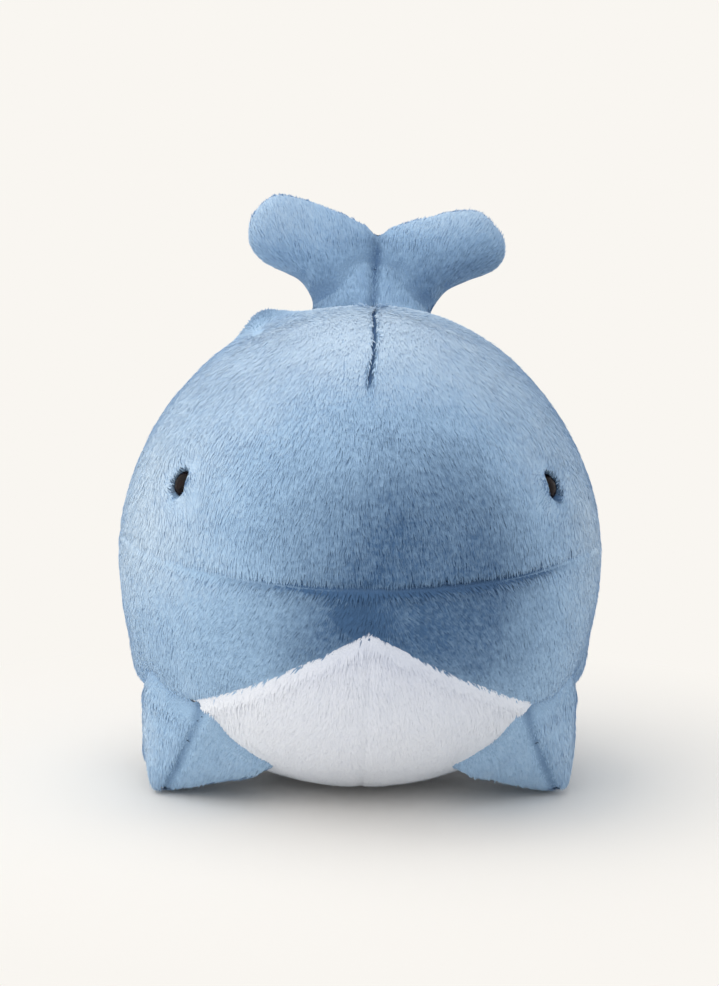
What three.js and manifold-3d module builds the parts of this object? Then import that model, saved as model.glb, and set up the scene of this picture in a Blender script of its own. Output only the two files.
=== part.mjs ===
// A round plush whale that sits on its belly with two stubby flippers and a raised tail.
// Lengths are in millimetres. +Z is up and the whale faces -Y. The origin lies on the floor,
// under the middle of the body. Left and right are as seen from the front.

import * as THREE from 'three';
import { ConvexGeometry } from 'three/addons/geometries/ConvexGeometry.js';
import { mergeVertices } from 'three/addons/utils/BufferGeometryUtils.js';
import Module from 'manifold-3d';

const wasm = await Module();
wasm.setup();

const LEFT = -1;
const RIGHT = 1;

// Body, a squat ball that is widest a little below its middle

const bodyWidth = 250;
const bodyLength = 270;
const crownReach = 131; // from the widest level up to the top of the head
const bellyReach = 116.5; // from the widest level down to the belly's lowest point
const floorPress = 0.5; // how deep the belly and the flippers are pressed flat by the floor
const crownExponent = 2;
const bellyExponent = 2.2;
const bodyMiddle = bellyReach - floorPress;
const halfWidth = bodyWidth / 2;
const halfLength = bodyLength / 2;

// Plush fabric, its seams and the room between the pieces

const plushThickness = 6; // the backing with its pile lying on it
const seamGap = 0.3;
const stuffingClearance = 0.3;
const rootClearance = 0.45; // between the body and a flipper or the tail sewn on to it
const seamDip = 2.5; // how far the thread draws a body seam in
const seamReach = 9; // how far from the seam the plush is drawn in

// Body seams, as heights above the floor

const mouthHeight = 124.5;
const mouthRise = 8; // the mouth seam is this much higher at the flanks
const chinHeight = 101.8;
const rumpHeight = 88;
const bellySeamLow = 46;
const bellySeamExponent = 1.25;

// A small pucker in the plush behind the left shoulder

const puckerHeight = 6.5;
const puckerRadius = 14;
const puckerSideShare = 0.4; // of half the body's width
const puckerBackShare = 0.09; // of half the body's length

// Eyes: a domed button on a shank, held by a washer behind the plush

const eyeRadius = 6.5;
const eyeDome = 4;
const eyeRim = 1;
const eyeSink = 3; // how far the back of the dome lies below the tips of the pile
const eyeSideShare = 0.745; // of half the body's width
const eyeFrontShare = 0.552; // of half the body's length
const eyeDimple = 3;
const eyeDimpleRadius = 15;
const shankRadius = 2.2;
const shankLength = 14;
const washerRadius = 8;
const washerThickness = 2;
const washerDepth = plushThickness + stuffingClearance; // below the tips of the pile
const eyeClearance = 0.3;

// Flippers: the plush is drawn tight over rounded corners of stuffing. Each corner's place is
// a share of half the body's width, half its length and its widest level, and its radius a
// share of the flipper's thickness. A corner without a height rests on the floor.

const flipperThickness = 37;
const flipperCornerShares = {
  leading: { side: 0.592, back: -0.578, height: 0.448, radius: 0.216 },
  inner: { side: 0.36, back: -0.511, height: 0.224, radius: 0.216 },
  shoulder: { side: 0.768, back: -0.296, height: 0.53, radius: 0.392 },
  flank: { side: 0.746, back: -0.133, height: 0.362, radius: 0.459 },
  heel: { side: 0.792, back: -0.104, radius: 0.419 },
  trailing: { side: 0.768, back: 0.104, height: 0.276, radius: 0.378 },
  tip: { side: 0.8, back: -0.3, radius: 0.257 },
};
const flipperSeamShares = {
  front: { side: 0.632, back: -0.644, height: 0.457 },
  foot: { side: 0.816, back: -0.267, height: 0 },
  rear: { side: 0.848, back: 0.185, height: 0.293 },
}; // three places that the seam between a flipper's two panels runs through
const flipperHingeShares = { side: 0.88, back: -0.148, height: 0.66 };
const flipperCornerSides = 14;
const flipperCornerRings = 9;

// Tail: two flukes on a short stem, made in the same way. Sides and radii are shares of half
// the flukes' span, depths of half the flukes' thickness, and heights of the tail's reach.

const flukeSpan = 150;
const flukeThickness = 36;
const tailReach = 121; // from the middle of the root to the top of the flukes
const tailBackShare = 0.83; // of half the body's length, for all but the root
const tailRootShares = { back: 0.667, height: 0.473 }; // of half the length and the crown's reach
const tailHingeShares = { back: 0.541, height: 0.496 };
const tailLean = THREE.MathUtils.degToRad(4.1); // the tail is sewn on a little askew
const tailSwing = THREE.MathUtils.degToRad(20);
const tailSwingShares = [-1, -0.5, 0, 0.5, 1]; // of the swing, where the tail is cut clear of the body
const neckLength = 36; // of the neck of stuffing that runs from the tail into the body
const neckStand = 2.5; // how far the neck stands out of the body
const tailCornerShares = {
  tip: { side: 0.7, height: 0.814, radius: 0.3, depth: 0.889 },
  lobe: { side: 0.36, height: 0.752, radius: 0.32, depth: 1 },
  crease: { side: 0, height: 0.69, radius: 0.293, depth: 0.722 },
  waist: { side: 0.173, height: 0.496, radius: 0.233, depth: 0.917 },
  root: { side: 0.293, height: 0, radius: 0.44, depth: 1.83 },
};
const tailCornerSides = 16;
const tailCornerRings = 10;

// Steps that round surfaces are drawn in

const turnSteps = 18; // from the nose to the rump on one side
const crownRows = 10;
const flankRows = 5;
const bellyRows = 6;
const eyeSteps = 24;
const neckSteps = 48;
const domeSteps = 5;
const weldShare = 0.01; // points closer than this share of a seam's gap become one
const crumbShare = 0.02; // what a cut leaves below this share of a piece's volume is trimmed off
const beyond = 4 * bodyLength; // reaches past the whole toy

// Colours

const BLUE = 0x8ca7c4;
const PALE_BLUE = 0x9db5cf;
const WHITE = 0xdfe2e8;
const STUFFING = 0xf3f1ec;
const EYE = 0x1d1a1c;
const WASHER = 0xe8e8e4;

// Body surface

function squareOff(value, exponent) {
  return Math.sign(value) * Math.pow(Math.abs(value), 2 / exponent);
}

// The angle from the top of the head at which the body's surface has this height.
function fallAt(height) {
  const above = height - bodyMiddle;
  const [reach, exponent] = above >= 0 ? [crownReach, crownExponent] : [bellyReach, bellyExponent];
  return Math.acos(Math.sign(above) * Math.pow(Math.abs(above) / reach, exponent / 2));
}

function mouthSeam(turn) {
  return mouthHeight + mouthRise * Math.sin(turn) ** 2;
}

function bellySeam(turn) {
  const peak = Math.cos(turn) > 0 ? chinHeight : rumpHeight;
  return bellySeamLow + (peak - bellySeamLow) * Math.pow(1 - Math.sin(turn), bellySeamExponent);
}

// A point on the body without dips. turn runs from the nose (0) to the rump (half a turn),
// fall from the top of the head (0) to the belly (half a turn).
function plainPoint(turn, fall, side, inset) {
  const up = Math.cos(fall) >= 0;
  const exponent = up ? crownExponent : bellyExponent;
  const reach = (up ? crownReach : bellyReach) - inset;
  const spread = squareOff(Math.sin(fall), exponent);
  return new THREE.Vector3(
    side * (halfWidth - seamGap / 2 - inset) * spread * Math.sin(turn),
    -(halfLength - inset) * spread * Math.cos(turn),
    bodyMiddle + reach * squareOff(Math.cos(fall), exponent),
  );
}

function bump(distance, radius) {
  return Math.exp(-((distance / radius) ** 2));
}

// A place on the upper half of the body, from its shares of half the width and the length.
function upperPlace(sideShare, backShare) {
  const level = Math.pow(1 - Math.hypot(sideShare, backShare) ** crownExponent, 1 / crownExponent);
  const height = bodyMiddle + crownReach * level;
  return new THREE.Vector3(halfWidth * sideShare, halfLength * backShare, height);
}

function eyePlace(side) {
  return upperPlace(side * eyeSideShare, -eyeFrontShare);
}

const puckerPlace = upperPlace(LEFT * puckerSideShare, puckerBackShare);

// How far the plush is drawn in at a place, less what the pucker adds there.
function dipAt(turn, fall, side) {
  const place = plainPoint(turn, fall, side, 0);
  const toMouth = (fall - fallAt(mouthSeam(turn))) * crownReach;
  const toBelly = (fall - fallAt(bellySeam(turn))) * bellyReach;
  const toEye = place.distanceTo(eyePlace(side));
  return (
    seamDip * (bump(toMouth, seamReach) + bump(toBelly, seamReach)) +
    eyeDimple * bump(toEye, eyeDimpleRadius) -
    puckerHeight * bump(place.distanceTo(puckerPlace), puckerRadius)
  );
}

function bodyPoint(turn, fall, side, inset) {
  const point = plainPoint(turn, fall, side, inset + dipAt(turn, fall, side));
  point.z = Math.max(point.z, inset);
  return point;
}

// Closed meshes from grids of points

function addTriangle(corners, a, b, c) {
  const area = b.clone().sub(a).cross(c.clone().sub(a)).length();
  if (area > 0) corners.push(a, b, c);
}

function addSheet(corners, grid, flipped) {
  for (let i = 0; i + 1 < grid.length; i++) {
    for (let j = 0; j + 1 < grid[i].length; j++) {
      const [a, b, c, d] = [grid[i][j], grid[i + 1][j], grid[i + 1][j + 1], grid[i][j + 1]];
      addTriangle(corners, a, flipped ? c : b, flipped ? b : c);
      addTriangle(corners, a, flipped ? d : c, flipped ? c : d);
    }
  }
}

function signedVolume(corners) {
  let volume = 0;
  for (let i = 0; i < corners.length; i += 3) {
    volume += corners[i].dot(corners[i + 1].clone().cross(corners[i + 2])) / 6;
  }
  return volume;
}

function closedGeometry(corners) {
  if (signedVolume(corners) < 0) corners.reverse();
  return new THREE.BufferGeometry().setFromPoints(corners);
}

// A panel of even thickness: an outer sheet, an inner sheet and the four edges between them.
function panelGeometry(outer, inner) {
  const corners = [];
  const column = (grid, j) => grid.map((row) => row[j]);
  const last = outer[0].length - 1;
  addSheet(corners, outer, false);
  addSheet(corners, inner, true);
  addSheet(corners, [outer[0], inner[0]], true);
  addSheet(corners, [outer.at(-1), inner.at(-1)], false);
  addSheet(corners, [column(outer, 0), column(inner, 0)], false);
  addSheet(corners, [column(outer, last), column(inner, last)], true);
  return closedGeometry(corners);
}

// Solids that can be cut

function solidOf(geometry) {
  const bare = geometry.clone();
  bare.deleteAttribute('normal');
  bare.deleteAttribute('uv');
  const merged = mergeVertices(bare, seamGap * weldShare);
  const triVerts = new Uint32Array(merged.index.array);
  const vertProperties = new Float32Array(merged.attributes.position.array);
  return new wasm.Manifold(new wasm.Mesh({ numProp: 3, vertProperties, triVerts }));
}

function geometryOf(solid) {
  const mesh = solid.getMesh();
  const geometry = new THREE.BufferGeometry();
  geometry.setAttribute('position', new THREE.BufferAttribute(mesh.vertProperties, 3));
  geometry.setIndex(new THREE.BufferAttribute(mesh.triVerts, 1));
  return geometry;
}

// Leaves out the crumbs that a cut along a curved surface can leave.
function withoutCrumbs(solid) {
  const pieces = solid.decompose();
  const whole = solid.volume();
  const kept = pieces.filter((piece) => piece.volume() > crumbShare * whole);
  return kept.reduce((sum, piece) => sum.add(piece));
}

function cut(solid, ...cutters) {
  return withoutCrumbs(cutters.reduce((left, cutter) => left.subtract(cutter), solid));
}

// Everything on the far side of a plane through a point.
function beyondPlane(point, normal) {
  const block = new THREE.BoxGeometry(beyond, beyond, beyond).translate(0, 0, beyond / 2);
  const up = new THREE.Vector3(0, 0, 1);
  block.applyQuaternion(new THREE.Quaternion().setFromUnitVectors(up, normal));
  block.translate(point.x, point.y, point.z);
  return solidOf(block);
}

// Splits a cover in two along a plane, with the seam's gap between the halves.
function split(solid, point, normal) {
  const step = normal.clone().multiplyScalar(seamGap / 2);
  const back = normal.clone().negate();
  return [
    cut(solid, beyondPlane(point.clone().sub(step), normal)),
    cut(solid, beyondPlane(point.clone().add(step), back)),
  ];
}

// Body panels and stuffing

function shares(count) {
  return Array.from({ length: count + 1 }, (_, i) => (1 - Math.cos((Math.PI * i) / count)) / 2);
}

function evenShares(count) {
  return Array.from({ length: count + 1 }, (_, i) => i / count);
}

// Rows of a panel between two edges, each row and edge being the fall at every turn.
function rowsBetween(top, bottom, rowShares) {
  return rowShares.map((share) => (turn) => top(turn) + (bottom(turn) - top(turn)) * share);
}

// The crown's rows draw close at the mouth seam only, because its top has no cross seam.
const crownShares = evenShares(crownRows).map((share) => Math.sin((share * Math.PI) / 2));
const flankShares = shares(flankRows);
const bellyShares = evenShares(bellyRows).map((share) => (share * (1 + share)) / 2);
const turns = evenShares(turnSteps).map((share) => share * Math.PI);
const crownTop = () => 0;
const mouthEdge = (step) => (turn) => fallAt(mouthSeam(turn) + step);
const bellyEdge = (step) => (turn) => fallAt(bellySeam(turn) + step);
const restEdge = () => fallAt(0);
const bellyBottom = () => Math.PI;

// Rows of the three panels on one side, with this much room on each side of a seam.
function panelRows(room) {
  return {
    crown: rowsBetween(crownTop, mouthEdge(room), crownShares),
    flank: rowsBetween(mouthEdge(-room), bellyEdge(room), flankShares),
    belly: [...rowsBetween(bellyEdge(-room), restEdge, bellyShares), bellyBottom],
  };
}

function sheetPoints(rows, side, inset, shift) {
  return rows.map((fall) =>
    turns.map((turn) => {
      const point = bodyPoint(turn, fall(turn), side, inset);
      point.x += side * shift;
      return point;
    }),
  );
}

function bodyPanel(rows, side) {
  const sheet = (inset) => sheetPoints(rows, side, inset, seamGap / 2);
  return solidOf(panelGeometry(sheet(0), sheet(plushThickness)));
}

// The whole body at this depth. It has a row under each row of the panels, so that it follows
// their facets.
function bodySolid(inset) {
  const { crown, flank, belly } = panelRows(0);
  const rows = [...crown, ...flank.slice(1), ...belly.slice(1)];
  const corners = [];
  for (const side of [LEFT, RIGHT]) {
    addSheet(corners, sheetPoints(rows, side, inset, 0), side === LEFT);
  }
  return solidOf(closedGeometry(corners));
}

// Eyes

// Where an eye sits: a frame whose +Y points out of the head.
function eyeFrame(side) {
  const place = eyePlace(side);
  const outward = new THREE.Vector3(
    place.x / halfWidth ** 2,
    place.y / halfLength ** 2,
    (place.z - bodyMiddle) / crownReach ** 2,
  ).normalize();
  const turned = new THREE.Quaternion().setFromUnitVectors(new THREE.Vector3(0, 1, 0), outward);
  place.addScaledVector(outward, -eyeDimple);
  return { place, turned };
}

function eyeGeometry(grow) {
  const radius = eyeRadius + grow;
  const back = -eyeSink - eyeRim - grow;
  const shank = shankRadius + grow;
  const end = -eyeSink - shankLength - grow;
  const dome = Array.from({ length: domeSteps + 1 }, (_, i) => {
    const angle = ((Math.PI / 2) * i) / domeSteps;
    const across = i === 0 ? 0 : radius * Math.sin(angle);
    return new THREE.Vector2(across, -eyeSink + (eyeDome + grow) * Math.cos(angle));
  });
  const rest = [[radius, back], [shank, back], [shank, end], [0, end]];
  const profile = [...dome, ...rest.map(([x, y]) => new THREE.Vector2(x, y))];
  return new THREE.LatheGeometry(profile.reverse(), eyeSteps);
}

function washerGeometry() {
  const bore = shankRadius + eyeClearance;
  const top = -washerDepth;
  const bottom = top - washerThickness;
  const ring = [[bore, bottom], [washerRadius, bottom], [washerRadius, top], [bore, top], [bore, bottom]];
  return new THREE.LatheGeometry(ring.map(([x, y]) => new THREE.Vector2(x, y)), eyeSteps);
}

// The room that a washer takes up, from above the stuffing down past the washer.
function washerRoom(top) {
  const bottom = -washerDepth - washerThickness - eyeClearance;
  const room = new THREE.CylinderGeometry(
    washerRadius + eyeClearance,
    washerRadius + eyeClearance,
    top - bottom,
    eyeSteps,
  );
  return room.translate(0, (top + bottom) / 2, 0);
}

function placedSolid(geometry, { place, turned }) {
  return solidOf(geometry.applyQuaternion(turned).translate(place.x, place.y, place.z));
}

// Flippers and tail

function cornerPoints({ side, back, height, radius, depth = radius }, inset, sides, rings) {
  const ball = new THREE.SphereGeometry(1, sides, rings);
  ball.scale(radius - inset, depth - inset, radius - inset).translate(side, back, height);
  const place = ball.attributes.position;
  return Array.from({ length: place.count }, (_, i) => new THREE.Vector3().fromBufferAttribute(place, i));
}

// A form that is drawn tight over some rounded corners.
function tightForm(corners, inset, sides, rings) {
  return solidOf(new ConvexGeometry(corners.flatMap((c) => cornerPoints(c, inset, sides, rings))));
}

function mirrored(corner, side) {
  return { ...corner, side: corner.side * side };
}

// A place by a flipper, from its shares of the body's half width, half length and level.
function flipperPlace({ side, back, height }) {
  return { side: side * halfWidth, back: back * halfLength, height: height * bodyMiddle };
}

function flipperCorner(share) {
  const radius = share.radius * flipperThickness;
  const place = flipperPlace({ height: (radius - floorPress) / bodyMiddle, ...share });
  return { ...place, radius };
}

function flipperForm(side, inset) {
  const corners = Object.values(flipperCornerShares).map((share) => mirrored(flipperCorner(share), side));
  return tightForm(corners, inset, flipperCornerSides, flipperCornerRings);
}

function tailPlace({ back, height }) {
  return { back: back * halfLength, height: bodyMiddle + height * crownReach };
}

const tailRoot = tailPlace(tailRootShares);

function tailCorner(name) {
  const share = tailCornerShares[name];
  return {
    side: (share.side * flukeSpan) / 2,
    back: name === 'root' ? tailRoot.back : tailBackShare * halfLength,
    height: tailRoot.height + share.height * tailReach,
    radius: (share.radius * flukeSpan) / 2,
    depth: (share.depth * flukeThickness) / 2,
  };
}

function tailForm(inset) {
  const form = (...corners) => tightForm(corners, inset, tailCornerSides, tailCornerRings);
  const [tip, lobe, crease, waist, root] = Object.keys(tailCornerShares).map(tailCorner);
  const sides = [LEFT, RIGHT];
  const stem = form(crease, ...sides.flatMap((side) => [mirrored(waist, side), mirrored(root, side)]));
  const flukes = sides.map((side) => {
    const inner = mirrored(lobe, side);
    const outer = form(mirrored(tip, side), inner);
    return outer.add(form(inner, crease, mirrored(waist, side)));
  });
  return stem.add(flukes[0]).add(flukes[1]);
}

function vectorOf({ side = 0, back, height }, mirror = RIGHT) {
  return new THREE.Vector3(mirror * side, back, height);
}

function turnedAbout(solid, axis, angle, point) {
  const matrix = new THREE.Matrix4()
    .makeTranslation(point)
    .multiply(new THREE.Matrix4().makeRotationAxis(axis, angle))
    .multiply(new THREE.Matrix4().makeTranslation(point.clone().negate()));
  return solid.transform(matrix.elements);
}

// The neck of stuffing lies along the tail's hinge, so the tail turns in the body's stuffing.
function neckSolid(grow) {
  const pivot = tailPlace(tailHingeShares);
  const rise = pivot.height - bodyMiddle;
  const scale = 1 / Math.hypot(pivot.back / halfLength, rise / crownReach);
  const radius = (scale - 1) * Math.hypot(pivot.back, rise) + neckStand + grow;
  const neck = new THREE.CylinderGeometry(radius, radius, neckLength + 2 * grow, neckSteps);
  return solidOf(neck.rotateZ(Math.PI / 2).translate(0, pivot.back, pivot.height));
}

// Covers and stuffing of one flipper, before they are hung at their hinge.
function flipperPieces(side, body, floor) {
  const cover = cut(flipperForm(side, 0), flipperForm(side, plushThickness), body, floor);
  const places = Object.values(flipperSeamShares).map(flipperPlace);
  const [front, foot, rear] = places.map((place) => vectorOf(place, side));
  const outward = foot.clone().sub(front).cross(rear.clone().sub(front)).normalize();
  if (outward.x * side < 0) outward.negate();
  const [inner, outer] = split(cover, front, outward);
  const stuffing = cut(flipperForm(side, plushThickness + stuffingClearance), body, floor);
  return { inner, outer, stuffing };
}

function tailPieces(body) {
  const middle = new THREE.Vector3(0, tailBackShare * halfLength, bodyMiddle);
  const rearward = new THREE.Vector3(0, 1, 0);
  const across = new THREE.Vector3(1, 0, 0);
  const pivot = vectorOf(tailPlace(tailHingeShares));
  const swings = tailSwingShares.map((share) => turnedAbout(body, across, share * tailSwing, pivot));
  const leaning = (inset) => turnedAbout(tailForm(inset), rearward, tailLean, middle);
  const [front, back] = split(cut(leaning(0), leaning(plushThickness), ...swings), middle, rearward);
  const crossways = across.clone().applyAxisAngle(rearward, tailLean);
  const [frontLeft, frontRight] = split(front, middle, crossways);
  const [backLeft, backRight] = split(back, middle, crossways);
  return {
    tail_front_left: frontLeft,
    tail_front_right: frontRight,
    tail_back_left: backLeft,
    tail_back_right: backRight,
    tail_fill: cut(leaning(plushThickness + stuffingClearance), ...swings).add(neckSolid(0)),
  };
}

// Meshes

function plush(color) {
  return new THREE.MeshStandardMaterial({ color, roughness: 0.95, metalness: 0 });
}

function plastic(color, roughness) {
  return new THREE.MeshStandardMaterial({ color, roughness, metalness: 0 });
}

function meshOf(name, solid, material, origin = new THREE.Vector3()) {
  const geometry = geometryOf(solid).translate(-origin.x, -origin.y, -origin.z);
  const mesh = new THREE.Mesh(geometry, material);
  mesh.name = name;
  return mesh;
}

// A group whose origin lies on a hinge, so that turning the group moves the limb.
function hungGroup(name, hinge) {
  const group = new THREE.Group();
  group.name = name;
  group.position.copy(hinge);
  return group;
}

function sideName(side) {
  return side === LEFT ? 'left' : 'right';
}

function buildBody() {
  const group = new THREE.Group();
  const rows = panelRows(seamGap / 2);
  const neckRoom = neckSolid(stuffingClearance);
  let stuffing = cut(bodySolid(plushThickness + stuffingClearance), neckRoom);
  for (const side of [LEFT, RIGHT]) {
    const name = sideName(side);
    const frame = eyeFrame(side);
    const eyeRoom = placedSolid(eyeGeometry(eyeClearance), frame);
    const crown = bodyPanel(rows.crown, side);
    const washerSeat = placedSolid(washerRoom(-washerDepth + eyeClearance), frame);
    stuffing = cut(stuffing, eyeRoom, placedSolid(washerRoom(0), frame));
    group.add(
      meshOf(`crown_${name}`, cut(crown, eyeRoom, washerSeat, neckRoom), plush(BLUE)),
      meshOf(`flank_${name}`, bodyPanel(rows.flank, side), plush(BLUE)),
      meshOf(`belly_${name}`, bodyPanel(rows.belly, side), plush(WHITE)),
    );
    const pieces = { eye: [eyeGeometry(0), EYE, 0.15], eye_washer: [washerGeometry(), WASHER, 0.6] };
    for (const [piece, [geometry, color, roughness]] of Object.entries(pieces)) {
      const mesh = new THREE.Mesh(geometry, plastic(color, roughness));
      mesh.name = `${piece}_${name}`;
      mesh.position.copy(frame.place);
      mesh.quaternion.copy(frame.turned);
      group.add(mesh);
    }
  }
  group.add(meshOf('body_fill', stuffing, plush(STUFFING)));
  return group;
}

function buildFlipper(side, body, floor) {
  const hinge = vectorOf(flipperPlace(flipperHingeShares), side);
  const group = hungGroup(`flipper_${sideName(side)}`, hinge);
  const { inner, outer, stuffing } = flipperPieces(side, body, floor);
  group.add(
    meshOf(`${group.name}_outer`, outer, plush(PALE_BLUE), hinge),
    meshOf(`${group.name}_inner`, inner, plush(BLUE), hinge),
    meshOf(`${group.name}_fill`, stuffing, plush(STUFFING), hinge),
  );
  return group;
}

function buildTail(body) {
  const hinge = vectorOf(tailPlace(tailHingeShares));
  const group = hungGroup('tail', hinge);
  for (const [name, solid] of Object.entries(tailPieces(body))) {
    group.add(meshOf(name, solid, plush(name === 'tail_fill' ? STUFFING : BLUE), hinge));
  }
  return group;
}

const whale = new THREE.Group();
const bodyRoom = bodySolid(-rootClearance);
const underFloor = beyondPlane(new THREE.Vector3(), new THREE.Vector3(0, 0, -1));
whale.add(buildBody(), buildTail(bodyRoom));
whale.add(buildFlipper(LEFT, bodyRoom, underFloor), buildFlipper(RIGHT, bodyRoom, underFloor));

export default whale;
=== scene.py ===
"""Looks of a round plush whale: sewn panels of short pile, stuffed limbs and button eyes.

Sizes held by the classes are in millimetres, as in the part's source, and meshes are made in
metres. +Z is up and the whale faces -Y. Left and right are as seen from the front. A turn is an
angle round the body from the nose to the rump, and a fall is an angle down from the top of the
head, both in radians.
"""

import logging
import math
from dataclasses import dataclass, field, fields, replace
from enum import Enum

import bmesh
import bpy
import numpy as np
from mathutils import Matrix, Vector


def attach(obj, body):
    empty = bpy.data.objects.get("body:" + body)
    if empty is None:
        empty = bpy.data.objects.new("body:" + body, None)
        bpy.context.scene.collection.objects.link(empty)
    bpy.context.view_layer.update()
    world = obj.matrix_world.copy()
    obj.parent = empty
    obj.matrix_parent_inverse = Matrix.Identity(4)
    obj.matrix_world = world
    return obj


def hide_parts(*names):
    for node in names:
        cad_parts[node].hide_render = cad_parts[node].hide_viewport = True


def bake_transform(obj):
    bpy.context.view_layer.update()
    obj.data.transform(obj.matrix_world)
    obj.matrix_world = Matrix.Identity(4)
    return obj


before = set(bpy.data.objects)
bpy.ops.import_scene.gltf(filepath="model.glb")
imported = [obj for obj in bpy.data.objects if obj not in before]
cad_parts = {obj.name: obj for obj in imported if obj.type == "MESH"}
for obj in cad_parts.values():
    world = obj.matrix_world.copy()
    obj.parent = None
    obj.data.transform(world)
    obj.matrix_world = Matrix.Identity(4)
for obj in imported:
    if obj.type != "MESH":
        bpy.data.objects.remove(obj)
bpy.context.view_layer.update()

Array = np.ndarray
Span = tuple[float, float]
Triple = tuple[float, float, float]
Colour = tuple[int, int, int]
Socket = bpy.types.NodeSocket
log = logging.getLogger("whale")

MM = 0.001


class Side(Enum):
    """The two sides of the toy, as seen from the front."""

    LEFT = -1
    RIGHT = 1

    @property
    def word(self) -> str:
        """The side's name in a piece's name."""
        return self.name.lower()


class Band(Enum):
    """The body's three rows of panels, from the top down."""

    CROWN = "crown"
    FLANK = "flank"
    BELLY = "belly"


# Small tools on arrays of points


def unit(vectors: Array) -> Array:
    """Scales vectors to length 1.

    Args:
        vectors: Rows of vectors.

    Returns:
        The same vectors at length 1, or zero where they had no length.
    """
    length = np.linalg.norm(vectors, axis=-1, keepdims=True)
    return vectors / np.maximum(length, 1e-12)


def along_surface(vectors: Array, normals: Array) -> Array:
    """Lays vectors flat on a surface.

    Args:
        vectors: Rows of vectors, or one vector for all rows.
        normals: The surface's normals.

    Returns:
        Unit vectors that lie in the surface.
    """
    across = np.sum(vectors * normals, axis=-1, keepdims=True)
    return unit(vectors - across * normals)


def distance(points: Array, place: "Array | Triple") -> Array:
    """How far each point lies from a place."""
    return np.linalg.norm(points - place, axis=-1)


def turned(directions: Array, normals: Array, angles: Array) -> Array:
    """Turns directions within a surface.

    Args:
        directions: Unit vectors that lie in the surface.
        normals: The surface's normals.
        angles: How far to turn each, in radians.

    Returns:
        The turned directions.
    """
    aside = np.cross(directions, normals)
    return directions * np.cos(angles)[:, None] + aside * np.sin(angles)[:, None]


def fade(value: Array, start: float, end: float) -> Array:
    """A smooth step that is 0 at start and 1 at end.

    Args:
        value: Where to take the step's height.
        start: The value at which it leaves 0.
        end: The value at which it reaches 1.

    Returns:
        Numbers from 0 to 1.
    """
    t = np.clip((value - start) / (end - start), 0.0, 1.0)
    return t * t * (3.0 - 2.0 * t)


def bump(away: Array, radius: float) -> Array:
    """A round bump that is 1 at no distance and dies out beyond radius."""
    return np.exp(-((away / radius) ** 2))


class Wander(Enum):
    """What wanders over the toy, each with its own seed."""

    LUMPS = 3
    RIPPLES = 5
    SWAYS = 7
    LOCKS = 11
    FIBRE_LUMPS = 17
    FIBRE_DENTS = 19
    LIMB_LUMPS = 23


class Tousle:
    """Smooth random vectors in space, the same ones each time for the same wander."""

    SIDE = 24

    def __init__(self, wander: Wander) -> None:
        """Draws the lattice that the vectors are read from.

        Args:
            wander: Picks the lattice.
        """
        shape = (self.SIDE,) * 3 + (3,)
        self.lattice = np.random.default_rng(wander.value).uniform(-1.0, 1.0, shape)

    def at(self, points: Array, grain: float) -> Array:
        """Reads a vector at each point.

        Args:
            points: Rows of points.
            grain: The size of one cell of the lattice, in the points' unit.

        Returns:
            One vector for each point, each part from about -1 to 1.
        """
        scaled = points / grain
        cell = np.floor(scaled).astype(int)
        t = scaled - cell
        t = t * t * (3.0 - 2.0 * t)
        found = np.zeros((len(points), 3))
        for corner in np.ndindex(2, 2, 2):
            index = (cell + corner) % self.SIDE
            weight = np.prod(np.where(np.array(corner) == 1, t, 1.0 - t), axis=1)
            found += weight[:, None] * self.lattice[index[:, 0], index[:, 1], index[:, 2]]
        return found


# Sheets of cloth and what is made from them


@dataclass
class Sheet:
    """A piece of plush before its pile is grown. Its points lie where the pile's tips lie."""

    points: Array
    normals: Array
    flow: Array
    triangles: Array
    nap: Array
    tone: Array

    def areas(self) -> Array:
        """The area of each triangle."""
        a, b, c = (self.points[self.triangles[:, i]] for i in range(3))
        return np.linalg.norm(np.cross(b - a, c - a), axis=1) / 2.0


@dataclass
class MeshParts:
    """Arrays that become one Blender mesh."""

    points: Array
    triangles: Array
    normals: Array
    along: Array
    tone: Array
    cells: Array
    finish: Array

    @staticmethod
    def joined(parts: "list[MeshParts]") -> "MeshParts":
        """Joins several sets of arrays into one.

        Args:
            parts: The sets, in order.

        Returns:
            One set with all points and triangles.
        """
        names = [entry.name for entry in fields(MeshParts)]
        whole = {name: np.concatenate([getattr(p, name) for p in parts]) for name in names}
        starts = np.cumsum([0] + [len(p.points) for p in parts[:-1]])
        shifted = [p.triangles + start for p, start in zip(parts, starts)]
        whole["triangles"] = np.concatenate(shifted)
        return MeshParts(**whole)


def bake_map(cells: Array) -> Array:
    """Gives every cell its own square of a texture.

    Args:
        cells: For each corner of each triangle, its cell's number and its place in the cell.

    Returns:
        One texture place for each corner.
    """
    count = int(cells[:, 0].max()) + 1
    side = math.ceil(math.sqrt(count))
    number = cells[:, 0].astype(int)
    corner = np.stack([number % side, number // side], axis=1)
    return (corner + 0.1 + 0.8 * cells[:, 1:]) / side


def flat(values: Array, kind: type = np.float32) -> Array:
    """One long row of numbers, as a mesh takes them."""
    return values.astype(kind).ravel()


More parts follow.
